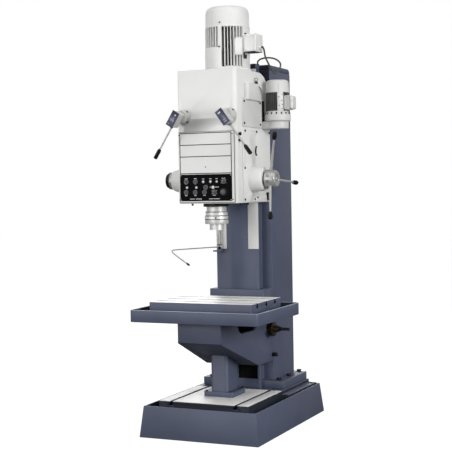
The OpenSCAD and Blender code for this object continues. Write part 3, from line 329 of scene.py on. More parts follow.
slotMaterial = {
    "navy_paint": navyEnamel, "white_paint": whiteEnamel, "label_blue": labelEnamel,
    "ground_steel": turnedSteel, "turned_steel": polishedSteel, "inner_steel": innerSteel,
    "pipe_metal": platedPipe, "bronze": nutBronze, "black_plastic": blackPlastic,
    "black_metal": blackOxide, "key_plastic": keyPlastic, "lens": lensPlastic, "cable_rubber": cableSheath}
# nodes whose finish differs from that of their slot
nodeMaterial = {
    "way_strips": waySteel, "feed_hub": hubSteel, "feed_dial": hubSteel, "switch_panel": panelPlate,
    "shift_bosses": greyEnamel, "crank_bearing": bearingBronze, "crank_shaft": blackOxide,
    "pump_base": pumpEnamel}


def finishOf(node):
    return nodeMaterial.get(node, slotMaterial[slotOf[node]])


for node, shown in frame["nodes"].items():
    dress(shown, finishOf(node))


# Opens a mesh with only the faces selected that a rule picks
def pickFaces(piece, wanted):
    takeUp(piece)
    bpy.context.tool_settings.mesh_select_mode = (False, False, True)
    for group in (piece.data.vertices, piece.data.edges):
        group.foreach_set("select", [False] * len(group))
    for face in piece.data.polygons:
        face.select = bool(wanted(face.center, face.normal))
    bpy.ops.object.mode_set(mode="EDIT")


def bevelEdges(piece, width, segments=2, clamp=True):
    bevel = piece.modifiers.new("edges", "BEVEL")
    bevel.width = width
    bevel.segments = segments
    bevel.limit_method = "ANGLE"
    bevel.angle_limit = math.radians(32)
    bevel.use_clamp_overlap = clamp
    takeUp(piece)
    bpy.ops.object.modifier_apply(modifier="edges")


# A shape turned about an axis, from pairs of distance along it and radius
def turnShape(name, material, profile, place=(0, 0, 0), facing=upward, steps=48, bevel=0.0):
    deselect()
    bpy.ops.mesh.primitive_circle_add(vertices=steps, radius=profile[0][1], fill_type="NGON",
                                      location=(0, 0, profile[0][0]))
    piece = bpy.context.active_object
    piece.name = name
    openMesh(piece)
    for (z0, r0), (z1, r1) in zip(profile, profile[1:]):
        extrudeBy(0, 0, z1 - z0)
        bpy.ops.transform.resize(value=(r1 / r0, r1 / r0, 1), center_override=(0, 0, 0))
    bpy.ops.mesh.select_all(action="SELECT")
    bpy.ops.mesh.remove_doubles(threshold=0.00001)
    bpy.ops.mesh.normals_make_consistent(inside=False)
    closeMesh()
    fixPlace()
    if bevel:
        bevelEdges(piece, bevel)
    piece.matrix_world = (Matrix.Translation(place)
                          @ Vector(facing).to_track_quat("Z", "Y").to_matrix().to_4x4())
    takeUp(piece)
    fixPlace()
    return dress(piece, material)


# A block with rounded edges, and where asked its front face set in to leave a rim
def blockShape(name, material, low, high, bevel=0.002, segments=2, rim=None, rimDepth=0.001):
    deselect()
    bpy.ops.mesh.primitive_cube_add(size=1, location=[(a + b) / 2 for a, b in zip(low, high)])
    piece = bpy.context.active_object
    piece.name = name
    piece.scale = [b - a for a, b in zip(low, high)]
    fixPlace()
    if rim:
        pickFaces(piece, lambda centre, normal: normal.y < -0.9)
        bpy.ops.mesh.inset(thickness=rim, depth=0)
        extrudeBy(0, rimDepth, 0)
        closeMesh()
    bevelEdges(piece, bevel, segments)
    return dress(piece, material)


# A thin strip on an upright face: its corners in x and z, how far it stands proud and how far it goes in
def faceStrip(name, material, face, low, high, proud, sunk, bevel=0.0004):
    return blockShape(name, material, (low[0], face - proud, low[1]), (high[0], face + sunk, high[1]),
                      bevel, 1)


# A curved pad round an upright axis: a flat section carried round in small steps
def arcPad(name, material, axis, radii, sweep, heights, bevel=0.003, steps=8):
    deselect()
    bpy.ops.mesh.primitive_plane_add(size=1, location=(0, 0, 0))
    pad = bpy.context.active_object
    pad.name = name
    for vertex, (r, z) in zip(pad.data.vertices, [(r, z) for z in heights for r in radii]):
        vertex.co = (r, 0, z)
    openMesh(pad)
    for _ in range(steps):
        extrudeBy(0, 0, 0)
        bpy.ops.transform.rotate(value=math.radians(sweep[1] - sweep[0]) / steps, orient_axis="Z",
                                 center_override=(0, 0, 0))
    bpy.ops.mesh.select_all(action="SELECT")
    bpy.ops.mesh.fill_holes(sides=4)
    bpy.ops.mesh.select_all(action="SELECT")
    bpy.ops.mesh.normals_make_consistent(inside=False)
    closeMesh()
    # with no window the turn goes the other way, so the pad starts from whichever end fits
    wentRound = max(v.co.y for v in pad.data.vertices) > 0.001
    pad.data.transform(roundAxis(axis, [sweep[0] if wentRound else sweep[1]])[0])
    bevelEdges(pad, bevel)
    return dress(pad, material)


# Puts a second material on the faces that a rule picks
def dressFaces(piece, material, wanted):
    piece.data.materials.append(material)
    spot = len(piece.data.materials) - 1
    for face in piece.data.polygons:
        if wanted(face.center, face.normal):
            face.material_index = spot


def ownCopy(piece):
    again = piece.copy()
    again.data = piece.data.copy()
    bpy.context.scene.collection.objects.link(again)
    return again


# Copies of a shape, each with its own mesh; the shape itself goes
def repeatShape(piece, moves):
    copies = []
    for move in moves:
        again = ownCopy(piece)
        again.data.transform(move)
        copies.append(again)
    bpy.data.objects.remove(piece)
    return copies


def turnBy(degrees, axis):
    return Matrix.Rotation(math.radians(degrees), 4, axis)


def roundAxis(axis, angles):
    return [Matrix.Translation((*axis, 0)) @ turnBy(a, "Z") for a in angles]


# Moves to places given in x and z, as on a front face
def frontSpots(places):
    return [Matrix.Translation((x, 0, z)) for x, z in places]


def joinShapes(name, shapes):
    deselect()
    for shape in shapes:
        shape.select_set(True)
    bpy.context.view_layer.objects.active = shapes[0]
    bpy.ops.object.join()
    whole = bpy.context.view_layer.objects.active
    whole.name = name
    return whole


# Smooths a finished piece and hangs it on the body of a node; what it stands for is hidden
def settle(piece, home, replaced=(), angle=35):
    takeUp(piece)
    bpy.ops.object.shade_smooth_by_angle(angle=math.radians(angle))
    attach(piece, bodyOf[home])
    if replaced:
        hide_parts(*replaced)


# A node's own mesh, merged and with its flat faces whole again, so that its edges can be rounded
def wholeMesh(node):
    piece = bpy.data.objects.new(node + "Dressed", frame["nodes"][node].data.copy())
    bpy.context.scene.collection.objects.link(piece)
    openMesh(piece)
    bpy.ops.mesh.remove_doubles(threshold=0.00002)
    bpy.ops.mesh.dissolve_limited(angle_limit=math.radians(0.4))
    closeMesh()
    return dress(piece, finishOf(node))


# Cuts a mesh across without taking anything away, so that a face can end where its paint ends
def cutAcross(piece, place, normal):
    openMesh(piece)
    bpy.ops.mesh.bisect(plane_co=place, plane_no=normal)
    closeMesh()


# The dark pocket low on the column's guide, seen under the knee: its outline is cut, then pushed in, and its
# inside painted black as shade
guidePocket = {"left": -0.006, "right": 0.156, "low": 0.346, "high": 0.478, "face": 0.076, "deep": 0.022}


def cutPocket(piece, look):
    near = 0.001
    for side in ("left", "right"):
        cutAcross(piece, (look[side], 0, 0), toRight)
    for side in ("low", "high"):
        cutAcross(piece, (0, 0, look[side]), upward)
    pickFaces(piece, lambda c, n: n.y < -0.9 and abs(c.y - look["face"]) < near
              and look["left"] < c.x < look["right"] and look["low"] < c.z < look["high"])
    extrudeBy(0, look["deep"], 0)
    closeMesh()
    # painted shade: the pocket's inside drawn black
    dressFaces(piece, jointBlack, lambda c, n: look["face"] + near < c.y < look["face"] + look["deep"] + near
               and look["left"] - near < c.x < look["right"] + near
               and look["low"] - near < c.z < look["high"] + near)


# Castings keep the model's shape and get the rounded edges of fettled and filled iron
castings = {"smooth": 38, "motorShade": 2.60, "upperCover": 2.285, "edges": {
    "column": 0.004, "column_cap": 0.007, "lift_post": 0.004, "knee": 0.005, "pump_base": 0.004,
    "head_casing": 0.004, "side_covers": 0.0025, "crank_bearing": 0.002, "shift_bosses": 0.003,
    "quill_collar": 0.001, "nose_ring": 0.0015, "feed_knobs": 0.001, "way_strips": 0.0008,
    "coolant_bracket": 0.001, "head_clamp": 0.002, "terminal_box": 0.004}}


def makeCastings(look):
    # painted shade: the coat drawn darker on the column and cap faces behind the motor, under the knee, and on
    # the upper side cover
    shades = {"column": (navyPaintedShade, lambda c, n: n.y < -0.5 and c.z > look["motorShade"]),
              "column_cap": (navyPaintedShade, lambda c, n: n.y < -0.5),
              "knee": (kneeUnderShade, lambda c, n: n.z < -0.3),
              "side_covers": (coverEnamel, lambda c, n: c.z > look["upperCover"])}
    for node, width in look["edges"].items():
        casting = wholeMesh(node)
        # the post's screw runs close inside its edge, so its rounding stops short of it
        bevelEdges(casting, width, clamp=node == "lift_post")
        if node == "column":
            cutPocket(casting, guidePocket)
            cutAcross(casting, (0, 0, look["motorShade"]), upward)
        if node in shades:
            dressFaces(casting, *shades[node])
        settle(casting, node, [node], look["smooth"])


makeCastings(castings)
print("castings rounded")

# The base: planed plate in front of the platform, and the coolant gutter round it painted dark as shade
baseLook = {"plateTop": 0.266, "plateBack": 0.062, "plateHalf": 0.366, "rimTop": 0.233, "gutterLow": 0.15,
            "gutterHalf": 0.452, "gutterFront": -0.668, "gutterBack": 0.67, "edge": 0.004}


def makeBase(look):
    base = wholeMesh("base")
    bevelEdges(base, look["edge"], clamp=False)
    cutAcross(base, (0, look["plateBack"], 0), (0, 1, 0))
    dressFaces(base, tableSteel, lambda c, n: n.z > 0.5 and c.z > look["plateTop"] - 0.003
               and c.y < look["plateBack"] and abs(c.x) < look["plateHalf"])
    # painted shade: the gutter's inside drawn nearly black, its rim top left in the coat
    dressFaces(base, navyPaintedShade, lambda c, n: look["gutterLow"] < c.z < look["plateTop"] - 0.006
               and abs(c.x) < look["gutterHalf"] and look["gutterFront"] < c.y < look["gutterBack"]
               and not (c.z > look["rimTop"] - 0.003 and n.z > 0.7))
    settle(base, "base", ["base"], castings["smooth"])


# The table: ground top with three slots, painted flanks, slot walls painted dark as shade; the tray's trough is
# painted dark as shade too
tableLook = {"edge": 0.002, "topSkin": 0.002, "slotFloor": 0.02, "side": 0.004, "end": 0.02}
trayLook = {"edge": 0.003, "rim": 0.003, "floor": 0.008, "wall": 0.006}


def makeTable(look):
    low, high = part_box("work_table")
    table = dress(wholeMesh("work_table"), navyEnamel)
    bevelEdges(table, look["edge"], clamp=False)
    dressFaces(table, tableSteel, lambda c, n: n.z > 0.5 and c.z > high[2] - look["topSkin"])
    # painted shade: the slot walls and floors drawn nearly black
    dressFaces(table, navyPaintedShade, lambda c, n: low[2] + look["slotFloor"] < c.z < high[2] - look["topSkin"]
               and low[0] + look["side"] < c.x < high[0] - look["side"]
               and low[1] + look["end"] < c.y < high[1] - look["end"])
    settle(table, "work_table", ["work_table"], castings["smooth"])


def makeTray(look):
    low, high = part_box("coolant_tray")
    wall = look["wall"]
    middle = Vector([(a + b) / 2 for a, b in zip(low, high)])
    tray = wholeMesh("coolant_tray")
    bevelEdges(tray, look["edge"], clamp=False)
    # painted highlight: the top of the tray's rim drawn pale
    dressFaces(tray, paleMarkAndRimHighlight, lambda c, n: n.z > 0.3 and c.z > high[2] - look["rim"])
    # only faces that look inwards or up are in the trough, so the outer skin keeps its coat; the trough is
    # painted dark as shade
    dressFaces(tray, navyPaintedShade, lambda c, n: low[2] + look["floor"] < c.z < high[2] - look["rim"]
               and low[0] + wall < c.x < high[0] - wall and low[1] + wall < c.y < high[1] - wall
               and ((c - middle).to_2d().dot(n.to_2d()) < 0 or n.z > 0.7))
    settle(tray, "coolant_tray", ["coolant_tray"], castings["smooth"])


makeBase(baseLook)
makeTable(tableLook)
makeTray(trayLook)
print("base, table and tray made")

# Main motor: cowl over slim fins with gaps painted dark as shade, smooth cover low on the left, blank
# nameplate, foot flange
mainMotor = {"radius": 0.170, "core": 0.140, "fins": 44, "finThick": 0.0060, "low": 2.750, "high": 3.052,
             "cowlLow": 3.050, "padInner": 0.120, "cover": (-152, -83), "coverTop": 2.900, "band": (-92, -82),
             "plain": (-22, 24), "plate": (-50, -25), "plateSpan": (2.833, 2.972), "bracket": (-21, -9),
             "bracketSpan": (2.812, 2.966), "slotRings": ((0.084, 20), (0.062, 14), (0.044, 10)),
             "screws": [(-87, 2.899, 0.006), (-85, 3.080, 0.005), (-47, 2.960, 0.004), (-15, 3.000, 0.004)]}


def finAngles(look):
    return [-180 + i * 360 / look["fins"] for i in range(look["fins"])]


# Fins round a motor; a rule gives the heights between which each one runs, or none where it is bare
def finRing(name, material, axis, look, spanAt):
    half = look["finThick"] / 2
    fin = blockShape(name, material, (look["core"] - 0.006, -half, look["low"]),
                     (look["radius"], half, look["high"]), 0.0012, 1)
    middle = (look["low"] + look["high"]) / 2
    spans = {}
    for angle in finAngles(look):
        span = spanAt(angle)
        if span:
            spans.setdefault(span, []).append(angle)
    made = []
    for (low, high), angles in spans.items():
        sample = ownCopy(fin)
        for vertex in sample.data.vertices:
            vertex.co.z += low - look["low"] if vertex.co.z < middle else high - look["high"]
        made += repeatShape(sample, roundAxis(axis, angles))
    bpy.data.objects.remove(fin)
    return made


def makeMainMotor(look):
    low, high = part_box("motor_cowl")
    axis, r = ((low[0] + high[0]) / 2, (low[1] + high[1]) / 2), look["radius"]
    onAxis, foot, inner = (*axis, 0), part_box("main_motor")[0][2], look["padInner"]

    def spanAt(angle):
        if look["cover"][0] < angle < look["cover"][1]:
            return (look["coverTop"] - 0.01, look["high"])
        if look["band"][0] - 1 < angle < look["band"][1] + 1 or look["plain"][0] < angle < look["plain"][1]:
            return None
        return (look["low"] - 0.002, look["high"])

    shapes = [
        # the core between the fins is painted near black as shade
        turnShape("motorCore", paintedShadeInGaps, [(look["low"] - 0.004, look["core"]),
                                              (look["high"] + 0.004, look["core"])], onAxis, steps=72),
        turnShape("motorFoot", motorEnamel, [
            (foot, r + 0.008), (foot + 0.020, r + 0.008), (foot + 0.024, r + 0.004),
            (look["low"] - 0.006, r - 0.002), (look["low"], r - 0.006), (look["low"] + 0.001, look["core"])],
            onAxis, steps=72, bevel=0.0012)]
    shapes += finRing("motorFin", motorEnamel, axis, look, spanAt)
    # a small web stands at the foot between each two fins
    web = turnShape("motorWeb", motorEnamel, [(r - 0.030, 0.007), (r - 0.006, 0.007)], (0, 0, look["low"]),
                    toRight, steps=10)
    halfStep = 180 / look["fins"]
    shapes += repeatShape(web, roundAxis(axis, [a + halfStep for a in finAngles(look) if spanAt(a)]))

    plate, bracket = look["plate"], look["bracket"]
    plateLow, plateHigh = look["plateSpan"]
    bracketLow, bracketHigh = look["bracketSpan"]
    shapes += [
        arcPad("motorCover", motorEnamel, axis, (inner, r + 0.004), look["cover"],
               (foot + 0.01, look["coverTop"]), 0.006, 12),
        arcPad("motorBand", motorEnamel, axis, (inner, r), look["band"],
               (look["coverTop"] - 0.02, look["high"]), 0.003, 2),
        arcPad("motorPlain", motorEnamel, axis, (inner, r - 0.002), look["plain"],
               (look["low"] - 0.01, look["high"]), 0.004),
        arcPad("motorPlateSeat", greyEnamel, axis, (r - 0.02, r + 0.005), plate, look["plateSpan"], 0.003, 6),
        arcPad("motorPlate", motorEnamel, axis, (r - 0.014, r + 0.009), (plate[0] + 2, plate[1] - 2),
               (plateLow + 0.007, plateHigh - 0.007), 0.0015, 6),
        # the bracket's sides are painted dark as shade
        arcPad("motorBracket", paintedShadeInGaps, axis, (r - 0.02, r + 0.003), bracket, look["bracketSpan"],
               0.002, 4),
        arcPad("motorBracketFace", greyEnamel, axis, (r - 0.02, r + 0.009), (bracket[0] + 4, bracket[1] - 1),
               (bracketLow + 0.03, bracketHigh - 0.03), 0.003, 3)]
    for angle, z, size in look["screws"]:
        screw = turnShape("motorScrew", blackOxide, [
            (r - 0.006, size), (r + 0.011, size), (r + 0.0125, size * 0.7)], (0, 0, z), toRight, steps=16)
        shapes += repeatShape(screw, roundAxis(axis, [angle]))
    settle(joinShapes("mainMotorBody", shapes), "main_motor", ["main_motor"])

    # the cowl is pressed sheet with a rolled lower edge, a crowned top and rings of air slots
    top, rolled = high[2], look["cowlLow"]
    shapes = [turnShape("mainMotorCowl", motorEnamel, [
        (rolled, r - 0.012), (rolled, r - 0.001), (rolled + 0.004, r + 0.0005), (rolled + 0.010, r - 0.002),
        (top - 0.050, r - 0.004), (top - 0.034, r - 0.007), (top - 0.020, r - 0.014),
        (top - 0.009, r - 0.026), (top - 0.003, r - 0.044), (top - 0.001, r - 0.062), (top - 0.001, 0.100),
        (top - 0.006, 0.097), (top - 0.006, 0.030), (top - 0.001, 0.026), (top, 0.004)], onAxis, steps=72)]
    # the air slots are dark strips of painted shade, set just under the cowl's top
    for ring, count in look["slotRings"]:
        slot = blockShape("cowlSlot", paintedShadeInGaps, (ring - 0.008, -0.003, top - 0.0066),
                          (ring + 0.008, 0.003, top - 0.0052), 0.0005, 1)
        shapes += repeatShape(slot, roundAxis(axis, [360 * i / count for i in range(count)]))
    settle(joinShapes("mainMotorCowlDressed", shapes), "motor_cowl", ["motor_cowl"])


makeMainMotor(mainMotor)
print("main motor made")

# Coolant pump's motor on the head's right side: fins with gaps painted dark as shade, junction box, bolted
# flange
pumpMotor = {"coreIn": 0.016, "fins": 40, "finThick": 0.003, "low": 2.424, "high": 2.566, "band": (-69, -38),
             "plain": (-31, 31), "bandInner": 0.058, "boltStep": 24, "seamSweep": (-63.5, -61),
             "boxSpan": (2.432, 2.538), "boxHalf": 0.046,
             "studs": ((2.437, -46), (2.462, -60), (2.470, -44), (2.500, -47), (2.530, -61), (2.548, -45))}


def makePumpMotor(look):
    low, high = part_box("pump_cowl")
    x, y, r = (low[0] + high[0]) / 2, (low[1] + high[1]) / 2, (high[0] - low[0]) / 2
    axis, onAxis = (x, y), (x, y, 0)
    look["radius"], look["core"] = r, r - look["coreIn"]
    seat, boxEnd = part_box("pump_motor")[0][2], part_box("pump_motor")[1][0]

    def spanAt(angle):
        if look["band"][0] < angle < look["band"][1] or look["plain"][0] < angle < look["plain"][1]:
            return None
        return (look["low"] - 0.002, look["high"])

    shapes = [
        # the core between the fins is painted near black as shade
        turnShape("pumpCore", paintedShadeInGaps, [(look["low"] - 0.01, look["core"]),
                                             (look["high"] + 0.004, look["core"])], onAxis),
        turnShape("pumpFlange", pumpEnamel, [
            (seat, r + 0.006), (seat + 0.004, r + 0.011), (seat + 0.040, r + 0.012),
            (seat + 0.052, r + 0.007), (seat + 0.072, r - 0.003), (look["low"], r - 0.006),
            (look["low"] + 0.001, look["core"])], onAxis, bevel=0.001)]
    # the fins themselves are painted dark as shade
    shapes += finRing("pumpFin", pumpFinShade, axis, look, spanAt)
    shapes.append(arcPad("pumpBand", pumpEnamel, axis, (look["bandInner"], r), look["band"],
                         (look["low"] - 0.006, look["high"]), 0.002, 4))
    bolt = turnShape("pumpBolt", blackOxide, [(seat + 0.050, 0.0065), (seat + 0.064, 0.0065),
                                              (seat + 0.066, 0.005)], (r + 0.002, 0, 0), steps=6)
    shapes += repeatShape(bolt, roundAxis(axis, range(-170, 180, look["boltStep"])))
    for z, angle in look["studs"]:
        stud = turnShape("bandStud", seamFillerAndShade, [(r - 0.004, 0.0045), (r + 0.003, 0.0035)],
                         (0, 0, z), toRight, steps=10)
        shapes += repeatShape(stud, roundAxis(axis, [angle]))
    half, (boxLow, boxHigh) = look["boxHalf"], look["boxSpan"]
    shapes += [
        blockShape("pumpBox", greyEnamel, (x + r - 0.020, y - half, boxLow),
                   (boxEnd - 0.026, y + half, boxHigh), 0.004, 2, 0.008, 0.002),
        blockShape("pumpBoxEnd", pumpEnamel, (boxEnd - 0.027, y - half + 0.002, boxLow + 0.002),
                   (boxEnd, y + half - 0.002, boxHigh - 0.002), 0.016, 4)]
    settle(joinShapes("pumpMotorBody", shapes), "pump_motor", ["pump_motor"])

    # the cowl is pressed sheet like the main motor's, with one upright seam
    top, rolled = high[2], look["high"]
    cowl = turnShape("pumpMotorCowl", pumpEnamel, [
        (rolled - 0.002, r - 0.008), (rolled - 0.002, r + 0.001), (rolled + 0.004, r + 0.002),
        (rolled + 0.008, r), (top - 0.022, r - 0.002), (top - 0.012, r - 0.005), (top - 0.005, r - 0.012),
        (top - 0.001, r - 0.023), (top - 0.001, 0.050), (top - 0.004, 0.048), (top - 0.004, 0.014),
        (top, 0.012)], onAxis)
    seam = arcPad("cowlSeam", greyEnamel, axis, (r - 0.010, r + 0.0008), look["seamSweep"],
                  (rolled + 0.006, top - 0.030), 0.0006, 1)
    settle(joinShapes("pumpCowlDressed", [cowl, seam]), "pump_cowl", ["pump_cowl"])


makePumpMotor(pumpMotor)
print("pump motor made")

# Terminal box: raised lid with corner screws, dark joint below
terminalBox = {"screw": 0.004, "wall": 0.014, "lidIn": 0.018, "lipBack": 0.100}


def makeTerminalBox(look):
    low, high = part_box("terminal_box")
    front, side = low[1], high[0] - look["wall"]
    lid = blockShape("terminalLid", motorEnamel, (low[0] + look["lidIn"], front - 0.004, low[2] + 0.006),
                     (side - 0.006, front + 0.002, high[2] - 0.006), 0.002, 2, 0.006)
    screw = turnShape("lidScrew", greyEnamel, [(0, look["screw"]), (0.002, look["screw"]), (0.003, 0.003)],
                      (0, front - 0.003, 0), toFront, steps=12)
    spots = frontSpots((x, z) for x in (low[0] + 0.026, side - 0.014)
                       for z in (low[2] + 0.014, high[2] - 0.014))
    lip = blockShape("boxLip", seamFillerAndShade, (low[0] + look["wall"], front - 0.002, low[2] - 0.003),
                     (side - 0.002, front + look["lipBack"], low[2] + 0.0015), 0.0008, 1)
    settle(joinShapes("terminalBoxLid", [lid, lip] + repeatShape(screw, spots)), "terminal_box")


makeTerminalBox(terminalBox)

# Speed levers: light blocks on tapered bosses, each with a blue plate, a polished rod and a black grip
speedLever = {"x": 0.187, "z": 2.372, "front": -0.508, "depth": 0.098, "half": 0.029, "low": -0.083,
              "high": 0.035, "rod": 0.007, "length": 0.360, "grip": 0.0145, "tiltLeft": 32, "tiltRight": -36,
              "bossFace": -0.4405, "bossRing": 0.057, "bossScrew": 0.008, "screwY": -0.462, "screwAt": 0.046,
              "screwAngles": (-48, 48)}
# pale marks on the plates, as low and high corners from the lever's own middle
marksLeft = [((0.000, 0.006), (0.012, 0.016)), ((-0.014, -0.040), (-0.002, -0.024)),
             ((0.004, -0.040), (0.014, -0.024)), ((-0.020, -0.072), (-0.010, -0.064))]
marksRight = [((-0.014, 0.008), (0.008, 0.018)), ((-0.012, -0.068), (0.012, -0.062)),
              ((-0.010, -0.052), (0.014, -0.047))]


def makeSpeedLever(look, node, x, tilt, marks):
    front, half, low, high = look["front"], look["half"], look["low"], look["high"]
    face, middle = front - look["depth"], front - look["depth"] / 2
    rod, grip, end, start = look["rod"], look["grip"], look["length"], -low
    shapes = [
        blockShape("leverBlock", greyEnamel, (-half, face, low), (half, front, high), 0.012, 4),
        blockShape("leverPlate", labelEnamel, (-half - 0.001, face - 0.004, low - 0.001),
                   (half + 0.001, face + 0.001, high + 0.001), 0.0012, 2, 0.003, 0.0006)]
    for i, (markLow, markHigh) in enumerate(marks):
        shapes.append(faceStrip("plateMark", paleMarkAndRimHighlight if i else labelStrip, face, markLow, markHigh,
                                0.0048, -0.0030, 0.0006))
    shapes += [
        turnShape("leverRod", polishedSteel, [(start - 0.010, rod * 0.9), (start + 0.012, rod),
                                              (end - 0.075, rod * 0.9)], (0, middle, 0), downward, steps=20),
        turnShape("leverCollar", innerSteel, [(start - 0.002, 0.012), (start + 0.010, 0.012),
                                              (start + 0.014, 0.009)], (0, middle, 0), downward, steps=24,
                  bevel=0.0008),
        turnShape("leverGrip", blackPlastic, [
            (end - 0.083, 0.008), (end - 0.080, 0.010), (end - 0.068, grip), (end - 0.006, grip),
            (end - 0.002, grip - 0.002), (end, 0.008)], (0, middle, 0), downward, steps=24),
        turnShape("leverPin", turnedSteel, [(0.0, 0.014), (0.066, 0.014)], (0, front - 0.002, 0), (0, 1, 0),
                  steps=32)]
    lever = joinShapes(node + "Dressed", shapes)
    lever.data.transform(Matrix.Translation((x, 0, look["z"])) @ turnBy(tilt, "Y"))
    settle(lever, node, [node])


def makeBossDetails(look):
    shapes = []
    ring, screw, out = look["bossRing"], look["bossScrew"], look["screwAt"]
    for x in (-look["x"], look["x"]):
        shapes.append(turnShape("bossRing", greyEnamel, [(0, ring), (0.004, ring), (0.008, ring - 0.004)],
                                (x, look["bossFace"], look["z"]), toFront, steps=40))
        for angle in look["screwAngles"]:
            a = math.radians(angle)
            shapes.append(turnShape(
                "bossScrew", blackOxide, [(0, screw), (0.008, screw), (0.010, 0.006)],
                (x + out * math.cos(a), look["screwY"], look["z"] + out * math.sin(a)),
                (math.cos(a), 0, math.sin(a)), steps=16))
    settle(joinShapes("bossDetails", shapes), "shift_bosses")


makeSpeedLever(speedLever, "speed_lever_left", -speedLever["x"], speedLever["tiltLeft"], marksLeft)
makeSpeedLever(speedLever, "speed_lever_right", speedLever["x"], speedLever["tiltRight"], marksRight)
makeBossDetails(speedLever)
print("speed levers made")

# Front panel: three blank plates parted by dark joints, a dark joint all round, small screws
frontPanel = {"screw": (-0.015, 1.998), "screwRows": (2.238, 1.756), "rim": 0.004, "joint": 0.006,
              "joints": (1.951, 2.076, 2.163, 2.250), "sides": (-0.224, 0.195), "gap": 0.0035,
              "edgeIn": 0.006}


def makeFrontPanel(look):
    low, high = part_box("front_panel")
    front, gap, inset = low[1], look["gap"], look["edgeIn"]
    panel = wholeMesh("front_panel")
    bevelEdges(panel, 0.0008, 1)
    dressFaces(panel, seamFillerAndShade, lambda c, n: front + 0.0013 < c.y < front + 0.006
               and low[0] + inset < c.x < high[0] - inset and low[2] + inset < c.z < high[2] - 0.004)
    gasket = blockShape("panelGasket", seamFillerAndShade, (low[0] - gap, front + 0.0045, low[2] - gap),
                        (high[0] + gap, front + 0.0075, high[2] + gap), 0.001, 1)
    shapes = [panel, gasket]
    screws = [look["screw"]] + [(x, z) for x in (low[0] + 0.0045, high[0] - 0.011) for z in look["screwRows"]]
    for x, z in screws:
        shapes.append(turnShape("panelScrew", blackOxide, [(0, 0.0042), (0.002, 0.0042), (0.003, 0.0030)],
                                (x, front + 0.0005, z), toFront, steps=14))
    half, (left, right) = look["joint"] / 2, look["sides"]
    joints = [((left, z - half), (right, z + half)) for z in look["joints"]]
    joints += [((x - half, low[2] + 0.010), (x + half, look["joints"][-1] + half)) for x in look["sides"]]
    for a, b in joints:
        shapes.append(faceStrip("panelJoint", jointBlack, front, a, b, 0.0006, 0.001))
    rim = look["rim"]
    for a, b in (((low[0], low[2]), (low[0] + rim, high[2])), ((high[0] - rim, low[2]), (high[0], high[2])),
                 ((low[0], high[2] - rim), (high[0], high[2])), ((low[0], low[2]), (high[0], low[2] + rim))):
        shapes.append(faceStrip("panelEdge", whiteEnamel, front, a, b, 0.002, 0.001, 0.0009))
    settle(joinShapes("frontPanelDressed", shapes), "front_panel", ["front_panel"])


makeFrontPanel(frontPanel)

# Switch panel: black plate with bezels, pale marks that name nothing, lamps, keys and selectors
rowHigh, rowMid, rowLow = 1.889, 1.847, 1.811
markOver, markLamp, markUnder, markStrip = rowHigh + 0.0215, rowHigh + 0.0185, rowLow - 0.0255, 1.7595
switchPanel = {
    "front": -0.452, "travel": 0.004, "stem": 0.006, "markTall": 0.0048, "dashTurns": (-120, -60, 0, 60, 120),
    "keys": [(-0.175, rowHigh), (-0.099, rowHigh), (-0.015, rowMid), (-0.176, rowLow), (-0.101, rowLow),
             (-0.025, rowLow)],
    # lamps and marks end with their radius and their width
    "lamps": [(-0.034, rowHigh, 0.008), (0.025, rowHigh, 0.008), (0.076, rowHigh, 0.007),
              (-0.168, rowMid, 0.008), (-0.091, rowMid, 0.008), (0.045, rowMid, 0.011)],
    "selectors": [(0.131, rowHigh), (0.055, rowLow)], "stop": (0.131, rowLow),
    "marks": [(-0.187, markOver, 0.024), (-0.111, markOver, 0.024), (0.117, markOver, 0.010),
              (0.135, markOver, 0.010), (-0.043, markLamp, 0.018), (0.016, markLamp, 0.018),
              (0.067, markLamp, 0.018), (0.062, rowMid - 0.001, 0.030), (0.020, rowMid - 0.001, 0.010),
              (-0.186, markUnder, 0.020), (-0.111, markUnder, 0.020), (-0.035, markUnder, 0.020),
              (0.043, markUnder, 0.024), (-0.146, markStrip, 0.040), (-0.098, markStrip, 0.050),
              (0.012, markStrip, 0.034), (0.050, markStrip, 0.050)]}


def ringShape(name, material, inner, outer, height, place, steps=28):
    return turnShape(name, material, [(0, outer), (height * 0.7, outer), (height, outer - 0.0012),
                                      (height, inner), (height * 0.3, inner - 0.0003)], place, toFront, steps)


def makeSwitchPanel(look):
    low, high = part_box("switch_panel")
    front = look["front"]
    seat = front + 0.0004  # bezels sink this far into the plate
    plate = wholeMesh("switch_panel")
    bevelEdges(plate, 0.001, 1, clamp=False)
    shapes = [plate]
    ring = ringShape("keyBezel", bezelMetal, 0.0142, 0.0185, 0.0035, (0, seat, 0))
    shapes += repeatShape(ring, frontSpots(look["keys"] + look["selectors"]))
    for x, z, r in look["lamps"]:
        shapes.append(ringShape("lampBezel", bezelMetal, r, r + 0.0035, 0.003, (x, seat, z), 20))
    stopX, stopZ = look["stop"]
    shapes.append(ringShape("stopBezel", seamFillerAndShade, 0.0235, 0.029, 0.0025, (stopX, seat, stopZ)))
    for x, z, wide in look["marks"]:
        shapes.append(faceStrip("labelMark", labelStrip, front, (x, z), (x + wide, z + look["markTall"]),
                                0.0008, 0.0005))
    dash = faceStrip("selectorDash", labelStrip, front, (-0.001, 0.020), (0.001, 0.0255), 0.0008, 0.0005)
    shapes += repeatShape(dash, [spot @ turnBy(a, "Y") for spot in frontSpots(look["selectors"])
                                 for a in look["dashTurns"]])
    screw = turnShape("plateScrew", greyEnamel, [(0, 0.0035), (0.0015, 0.0035), (0.0022, 0.0022)],
                      (0, front + 0.0003, 0), toFront, steps=12)
    shapes += repeatShape(screw, frontSpots((x, z) for x in (low[0] + 0.007, high[0] - 0.007)
                                            for z in (low[2] + 0.007, high[2] - 0.007)))
    settle(joinShapes("switchPanelDressed", shapes), "switch_panel", ["switch_panel"])


